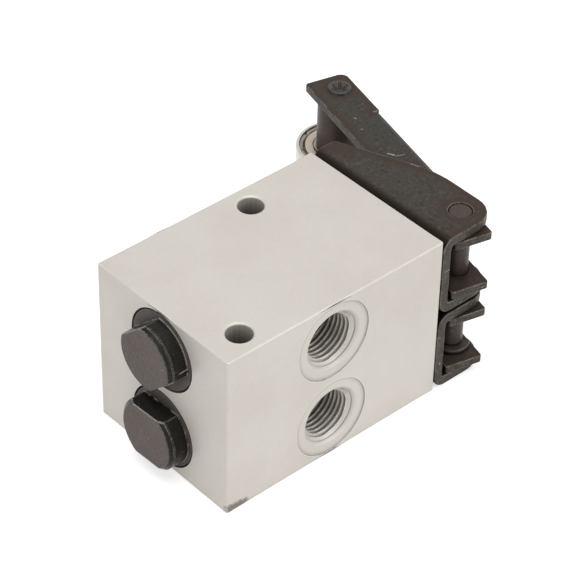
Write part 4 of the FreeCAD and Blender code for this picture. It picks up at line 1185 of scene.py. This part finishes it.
def colour_stack(nodes, links, grain, look):
    """Base colours, flecks, layers, painted shade, and wear with painted highlights, each in turn.
    """
    clouds = smooth_range(nodes, links, grain["Broad"], 0.35, 0.65)
    top = cover(nodes, links, (*look["colour"], 1), look["second"], clouds)
    light = smooth_range(nodes, links, grain["Speck"], 0.54, 0.68)
    dark = smooth_range(nodes, links, grain["Speck"], 0.36, 0.48)
    dark = math_node(nodes, links, "SUBTRACT", 1.0, dark)
    for factor, fleck in ((0.5, dark), (1.7, light)):
        fleck = math_node(nodes, links, "MULTIPLY", fleck, look["mottle"])
        top = cover(nodes, links, top, shifted(look["colour"], factor), fleck)
    for tint, mask in look["layers"]:
        top = cover(nodes, links, top, tint, mask(nodes, links))
    # Shade painted into corners and gaps, where nearby surfaces shut the light out.
    corner_shade_mask = use_group(nodes, links, "corner_shade", Distance=look["distance"],
                     Amount=look["corner_shade"])["Mask"]
    top = cover(nodes, links, top, look["corner_shade_colour"], corner_shade_mask)
    # The worn colour on edges is rubbed wear and also a painted highlight; on scuffs it is wear.
    edge = use_group(nodes, links, "edge_wear_and_highlight", Radius=look["radius"], Amount=look["wear_and_highlight"],
                     Bare=look["bare"])["Mask"]
    unshaded = math_node(nodes, links, "SUBTRACT", 1.0, corner_shade_mask)
    edge = math_node(nodes, links, "MULTIPLY", edge, unshaded, clamp=True)
    marks = use_group(nodes, links, "scuffs", Amount=look["scuff"])["Mask"]
    worn_and_highlight = math_node(nodes, links, "MAXIMUM", edge, marks)
    return cover(nodes, links, top, look["worn_and_highlight"], worn_and_highlight)


def finish(name, look):
    """A worn metal finish, from the usual values and those that its look changes."""
    look = {**USUAL, **look}
    material = bpy.data.materials.new(name)
    material.use_nodes = True
    nodes, links = material.node_tree.nodes, material.node_tree.links
    shader = nodes["Principled BSDF"]
    shader.inputs["Metallic"].default_value = look["metallic"]
    shader.inputs["Specular IOR Level"].default_value = look["specular"]
    grain = use_group(nodes, links, "grain", Fine_scale=look["fine"], Broad_scale=look["broad"])
    links.new(colour_stack(nodes, links, grain, look), shader.inputs["Base Color"])
    roughness = nodes.new("ShaderNodeMapRange")
    for label, value in (("From Min", 0.3), ("From Max", 0.7),
                         ("To Min", look["rough"] - ROUGH_SPREAD / 2),
                         ("To Max", look["rough"] + ROUGH_SPREAD / 2)):
        roughness.inputs[label].default_value = value
    links.new(grain["Fine"], roughness.inputs["Value"])
    links.new(roughness.outputs["Result"], shader.inputs["Roughness"])
    height = nodes.new("ShaderNodeBump")
    height.inputs["Strength"].default_value = look["bump"]
    height.inputs["Distance"].default_value = BUMP_HEIGHT
    links.new(grain["Fine"], height.inputs["Height"])
    links.new(height.outputs["Normal"], shader.inputs["Normal"])
    return material


print("values that a finish can change:", ", ".join(USUAL))

# %% [markdown]
# ## The finishes of this valve
# The block is anodised aluminium with a satin skin, with painted shade in its holes. The plugs
# have dull sawn ends and polished sides: a lighter colour on the ends is a painted sheen, and a
# near-black one on the sides a painted dark reflection. The sheet parts are black oxide, browner
# towards their edges and with painted shade along the bends at the block, with lighter cut sides
# and a few bright scratches where the lever rubs past its bracket. Each look names only what
# differs from the usual values.

# %% Colours

BRIGHT = (0.42, 0.40, 0.36)
TONGUE = 30.1
ARM = 32.0
SCRATCHES = [
    ((34.34, 9.22, TONGUE), (34.89, 8.2, TONGUE), 0.16),
    ((34.89, 7.83, TONGUE), (36.36, 7.15, TONGUE), 0.07),
    ((37.08, 20.57, TONGUE), (37.11, 19.97, TONGUE), 0.09),
    ((35.71, 17.31, TONGUE), (35.87, 16.98, TONGUE), 0.08),
    ((33.48, 2.8, ARM), (34.05, 1.34, ARM), 0.08),
    ((23.75, 2.5, ARM), (24.17, 0.12, ARM), 0.12),
    ((23.33, -3.41, ARM), (23.36, -3.97, ARM), 0.12),
]
SMUDGE = scratched((-22.4, -16.0, 0.9), (-19.4, -16.0, 0.5), 1.1)
# Each look's worn colour is laid on rubbed edges, where it also paints a highlight, and on scuffs.
LOOKS = {
    "anodised_aluminium": {
        "colour": (0.64, 0.597, 0.545), "second": (0.68, 0.64, 0.585),
        "worn_and_highlight": (0.82, 0.79, 0.74), "metallic": 0.2, "rough": 0.46, "wear_and_highlight": 0.7, "scuff": 0.1,
        "radius": 0.00035, "bump": 0.25, "broad": 60.0, "bare": 0.3, "corner_shade": 0.45,
        "corner_shade_colour": (0.10, 0.09, 0.075), "distance": 0.0015, "mottle": 0.05,
        # The block's last layer is painted shade in its holes, from the stored number.
        "layers": [((0.20, 0.18, 0.155), SMUDGE), ((0.052, 0.048, 0.036), stored("painted_shade"))]},
    # Plug end faces: the lighter colour is a painted sheen.
    "black_steel": {
        "colour": (0.112, 0.091, 0.083), "second": (0.128, 0.106, 0.097),
        "worn_and_highlight": (0.42, 0.37, 0.32), "rough": 0.5, "wear_and_highlight": 0.9, "scuff": 0.5, "bump": 0.4,
        "corner_shade": 1.0, "corner_shade_colour": (0.010, 0.008, 0.006), "distance": 0.004,
        "mottle": 0.45, "specular": 0.15},
    # Plug turned sides: the near-black colour is a painted dark reflection.
    "plug_side_painted_reflection": {
        "colour": (0.007, 0.006, 0.005), "second": (0.022, 0.020, 0.016),
        "worn_and_highlight": (0.85, 0.80, 0.70), "rough": 0.27, "wear_and_highlight": 1.0, "scuff": 0.5,
        "radius": 0.0005, "bump": 0.12, "bare": 0.36, "corner_shade": 1.0, "mottle": 0.6,
        "specular": 0.13},
    "oxide_sheet_steel": {
        "colour": (0.056, 0.053, 0.045), "second": (0.062, 0.049, 0.041),
        "worn_and_highlight": (0.33, 0.29, 0.235), "rough": 0.42, "wear_and_highlight": 0.9, "scuff": 0.1,
        "radius": 0.00035, "bump": 0.5, "broad": 110.0, "bare": 0.4, "corner_shade": 1.0,
        "corner_shade_colour": (0.006, 0.005, 0.003), "distance": 0.004, "mottle": 0.75,
        "specular": 0.1,
        "layers": [((0.056, 0.038, 0.029), stained("rim_near", 700.0, 0.65, 1.25)),
                   # Painted shade along the bends next to the block.
                   ((0.016, 0.010, 0.006), near_block(24.0, 25.3)),
                   ((0.17, 0.14, 0.10), stained("rim_near", 2600.0, 1.60, 1.70)),
                   *((BRIGHT, scratched(*mark)) for mark in SCRATCHES)]},
    "cut_sheet_edge": {
        "colour": (0.078, 0.066, 0.056), "second": (0.050, 0.041, 0.034),
        "worn_and_highlight": (0.48, 0.44, 0.37), "rough": 0.4, "wear_and_highlight": 1.0, "scuff": 0.8, "bump": 0.6,
        "fine": 3000.0, "broad": 420.0, "bare": 0.4, "corner_shade": 1.0,
        "corner_shade_colour": (0.006, 0.005, 0.003), "mottle": 0.8, "specular": 0.12},
    "ground_steel": {
        "colour": (0.080, 0.060, 0.054), "second": (0.096, 0.074, 0.067),
        "worn_and_highlight": (0.34, 0.31, 0.28), "metallic": 0.1, "rough": 0.36, "wear_and_highlight": 0.45,
        "scuff": 0.2, "radius": 0.0002, "bump": 0.2, "corner_shade": 1.0,
        "corner_shade_colour": (0.006, 0.004, 0.003), "distance": 0.004, "mottle": 0.35,
        "specular": 0.12},
    "peened_steel": {
        "colour": (0.058, 0.054, 0.047), "second": (0.070, 0.062, 0.054),
        "worn_and_highlight": (0.22, 0.20, 0.18), "metallic": 0.1, "rough": 0.34, "wear_and_highlight": 0.3,
        "scuff": 0.2, "radius": 0.0002, "bump": 0.2, "corner_shade": 0.3, "mottle": 0.5,
        # The rivet's layer is painted shade in its flutes, down its cup and under its head.
        "specular": 0.25, "layers": [((0.006, 0.005, 0.004), stored("painted_shade"))]},
    "bearing_steel": {
        "colour": (0.63, 0.60, 0.56), "second": (0.57, 0.54, 0.50), "worn_and_highlight": (0.8, 0.79, 0.77),
        "metallic": 0.8, "rough": 0.32, "wear_and_highlight": 0.3, "scuff": 0.2, "bump": 0.08, "corner_shade": 0.5,
        "layers": [((0.33, 0.29, 0.25), banded(6.24, 6.74)),
                   ((0.060, 0.038, 0.016), banded(6.74, 6.84)),
                   ((0.36, 0.32, 0.27), banded(2.0, 4.3))]},
    "shield_steel": {
        "colour": (0.67, 0.58, 0.45), "second": (0.60, 0.52, 0.38), "worn_and_highlight": (0.8, 0.76, 0.66),
        "metallic": 0.3, "rough": 0.42, "wear_and_highlight": 0.3, "scuff": 0.2, "bump": 0.15, "corner_shade": 0.5,
        "layers": [((0.060, 0.038, 0.015), banded(5.84, 6.3))]},
    "stainless_steel": {
        "colour": (0.62, 0.61, 0.59), "second": (0.55, 0.54, 0.52), "worn_and_highlight": (0.8, 0.79, 0.77),
        "metallic": 1.0, "rough": 0.25, "wear_and_highlight": 0.3, "scuff": 0.2},
    "spring_steel": {
        "colour": (0.42, 0.41, 0.39), "second": (0.36, 0.35, 0.33), "worn_and_highlight": (0.6, 0.59, 0.57),
        "metallic": 1.0, "rough": 0.32, "wear_and_highlight": 0.2, "scuff": 0.1},
    "brass": {
        "colour": (0.70, 0.53, 0.26), "second": (0.62, 0.46, 0.22),
        "worn_and_highlight": (0.85, 0.70, 0.42), "metallic": 1.0, "rough": 0.3, "wear_and_highlight": 0.3, "scuff": 0.1},
    "seal_rubber": {
        "colour": (0.02, 0.02, 0.02), "second": (0.03, 0.03, 0.03), "worn_and_highlight": (0.05, 0.05, 0.05),
        "rough": 0.65, "wear_and_highlight": 0.1, "scuff": 0.05},
}
FINISHES = {name: finish(name, look) for name, look in LOOKS.items()}
print("finishes:", ", ".join(FINISHES))

# %% Give each piece and each solid its finish

NEW_PIECES = {
    "anodised_aluminium": [valve_block],
    "black_steel": plugs,
    "oxide_sheet_steel": brackets + levers,
    "ground_steel": pins + clips + sleeves,
    "peened_steel": [rivet_pin],
    "bearing_steel": [ring],
    "shield_steel": shields,
}
for name, pieces in NEW_PIECES.items():
    for piece in pieces:
        piece.data.materials.append(FINISHES[name])
for piece in brackets + levers:
    piece.data.materials.append(FINISHES["cut_sheet_edge"])
# The plug's turned sides take the near-black finish, a painted dark reflection, and the end faces
# keep the lighter one, a painted sheen.
for piece in plugs:
    piece.data.materials.append(FINISHES["plug_side_painted_reflection"])
    facing = np.empty(3 * len(piece.data.polygons), dtype=np.float32)
    piece.data.polygons.foreach_get("normal", facing)
    turned = (np.abs(facing.reshape(-1, 3)[:, 0]) < 0.9).astype(np.int32)
    piece.data.polygons.foreach_set("material_index", turned)
    print("%s: %d turned faces of %d" % (piece.name, turned.sum(), len(turned)))
subparts = {part["node"]: part["material_slot"] for part in frame["record"]["subparts"]}
for node, thing in frame["nodes"].items():
    for place in thing.material_slots:
        place.material = FINISHES[subparts[node]]

# %% [markdown]
# ## Floor, light and camera
# The valve stands on a plain pale floor in soft studio light. Rays from the camera, and rays
# that a surface mirrors or lets through, see a white background and a floor lifted towards
# white. So the picture is white round the valve without more light on it, and the floor still
# takes its shadow. Three large soft lamps and an even world light the metal.

# %% Floor and world

FLOOR_HALF = 1.5
FLOOR_Z = -0.0001
FLOOR_GREY = 0.79
FLOOR_LIFT = 0.6
WORLD_STRENGTH = 0.45


def sees_white(nodes, links):
    """1 for camera, mirrored and see-through rays, 0 for the rays that light the valve."""
    rays = nodes.new("ShaderNodeLightPath").outputs
    seen = math_node(nodes, links, "MAXIMUM", rays["Is Camera Ray"], rays["Is Glossy Ray"])
    return math_node(nodes, links, "MAXIMUM", seen, rays["Is Transmission Ray"])


def floor_material():
    """A pale matte floor that also glows a little for the rays that see white."""
    material = bpy.data.materials.new("floor")
    material.use_nodes = True
    nodes, links = material.node_tree.nodes, material.node_tree.links
    nodes.clear()
    out = nodes.new("ShaderNodeOutputMaterial")
    matte = nodes.new("ShaderNodeBsdfDiffuse")
    matte.inputs["Color"].default_value = (FLOOR_GREY, FLOOR_GREY, FLOOR_GREY, 1)
    lift = nodes.new("ShaderNodeEmission")
    strength = math_node(nodes, links, "MULTIPLY", sees_white(nodes, links), FLOOR_LIFT)
    links.new(strength, lift.inputs["Strength"])
    both = nodes.new("ShaderNodeAddShader")
    links.new(matte.outputs[0], both.inputs[0])
    links.new(lift.outputs[0], both.inputs[1])
    links.new(both.outputs[0], out.inputs["Surface"])
    return material


span = np.linspace(-FLOOR_HALF, FLOOR_HALF, 31)
x, y = np.meshgrid(span, span, indexing="ij")
points, faces = grid(np.dstack([x, y, np.full(x.shape, FLOOR_Z)]))
floor_mesh = bpy.data.meshes.new("floor")
floor_mesh.from_pydata(points.tolist(), [], faces[:, ::-1].tolist())
floor_mesh.materials.append(floor_material())
floor = bpy.data.objects.new("floor", floor_mesh)
scene.collection.objects.link(floor)

world = bpy.data.worlds.new("studio")
scene.world = world
world.use_nodes = True
nodes, links = world.node_tree.nodes, world.node_tree.links
background = nodes["Background"]
background.inputs["Color"].default_value = (1.0, 1.0, 1.0, 1)
strength = nodes.new("ShaderNodeMapRange")
strength.inputs["To Min"].default_value = WORLD_STRENGTH
strength.inputs["To Max"].default_value = 1.0
links.new(sees_white(nodes, links), strength.inputs["Value"])
links.new(strength.outputs["Result"], background.inputs["Strength"])
print("floor points:", len(points), "world strength:", WORLD_STRENGTH)

# %% Lamps


def soft_lamp(name, place, size, power):
    """A square area lamp that looks at the middle of the block."""
    lamp = bpy.data.lights.new(name, "AREA")
    lamp.size = size
    lamp.energy = power
    thing = bpy.data.objects.new(name, lamp)
    thing.location = place
    way = Vector((0, 0, MIDDLE * MM)) - thing.location
    thing.rotation_euler = way.to_track_quat("-Z", "Y").to_euler()
    scene.collection.objects.link(thing)
    print("lamp %s: %.2f W" % (name, power))


soft_lamp("over", (-0.05, -0.10, 0.75), 0.6, 2.27)
soft_lamp("right", (0.35, -0.65, 0.35), 0.5, 1.7)
soft_lamp("left", (-0.70, 0.05, 0.40), 0.5, 0.92)

# %% The camera at the photograph's viewing angle

PICTURE_PIXELS = 588
FOCUS_PIXELS = 2525.9
SENSOR = 36.0
CAMERA_PLACE = (-0.21136, -0.23462, 0.28591)
VIEW_AXIS = np.array([0.5215, 0.5653, -0.6392])
ROLL = math.radians(1.53)


def photo_camera():
    """The camera, from its place, its view axis and a small roll, in the frame's metres.

    Its focal length is the sensor's width * focus in pixels / picture's width in pixels.
    """
    forward = VIEW_AXIS / np.linalg.norm(VIEW_AXIS)
    level = np.cross(forward, [0, 0, 1])
    level /= np.linalg.norm(level)
    down = np.cross(forward, level)
    right = math.cos(ROLL) * level - math.sin(ROLL) * down
    down = math.sin(ROLL) * level + math.cos(ROLL) * down
    camera = bpy.data.cameras.new("photo_view")
    camera.sensor_fit = "HORIZONTAL"
    camera.sensor_width = SENSOR
    camera.lens = FOCUS_PIXELS / PICTURE_PIXELS * SENSOR
    camera.clip_start = 0.01
    camera.clip_end = 20.0
    thing = bpy.data.objects.new("photo_view", camera)
    matrix = np.eye(4)
    matrix[:3, 0], matrix[:3, 1], matrix[:3, 2] = right, -down, -forward
    matrix[:3, 3] = CAMERA_PLACE
    thing.matrix_world = Matrix(matrix.tolist())
    scene.collection.objects.link(thing)
    return thing


scene.camera = photo_camera()
scene.view_settings.view_transform = "Standard"
print("focal length: %.1f mm" % scene.camera.data.lens)
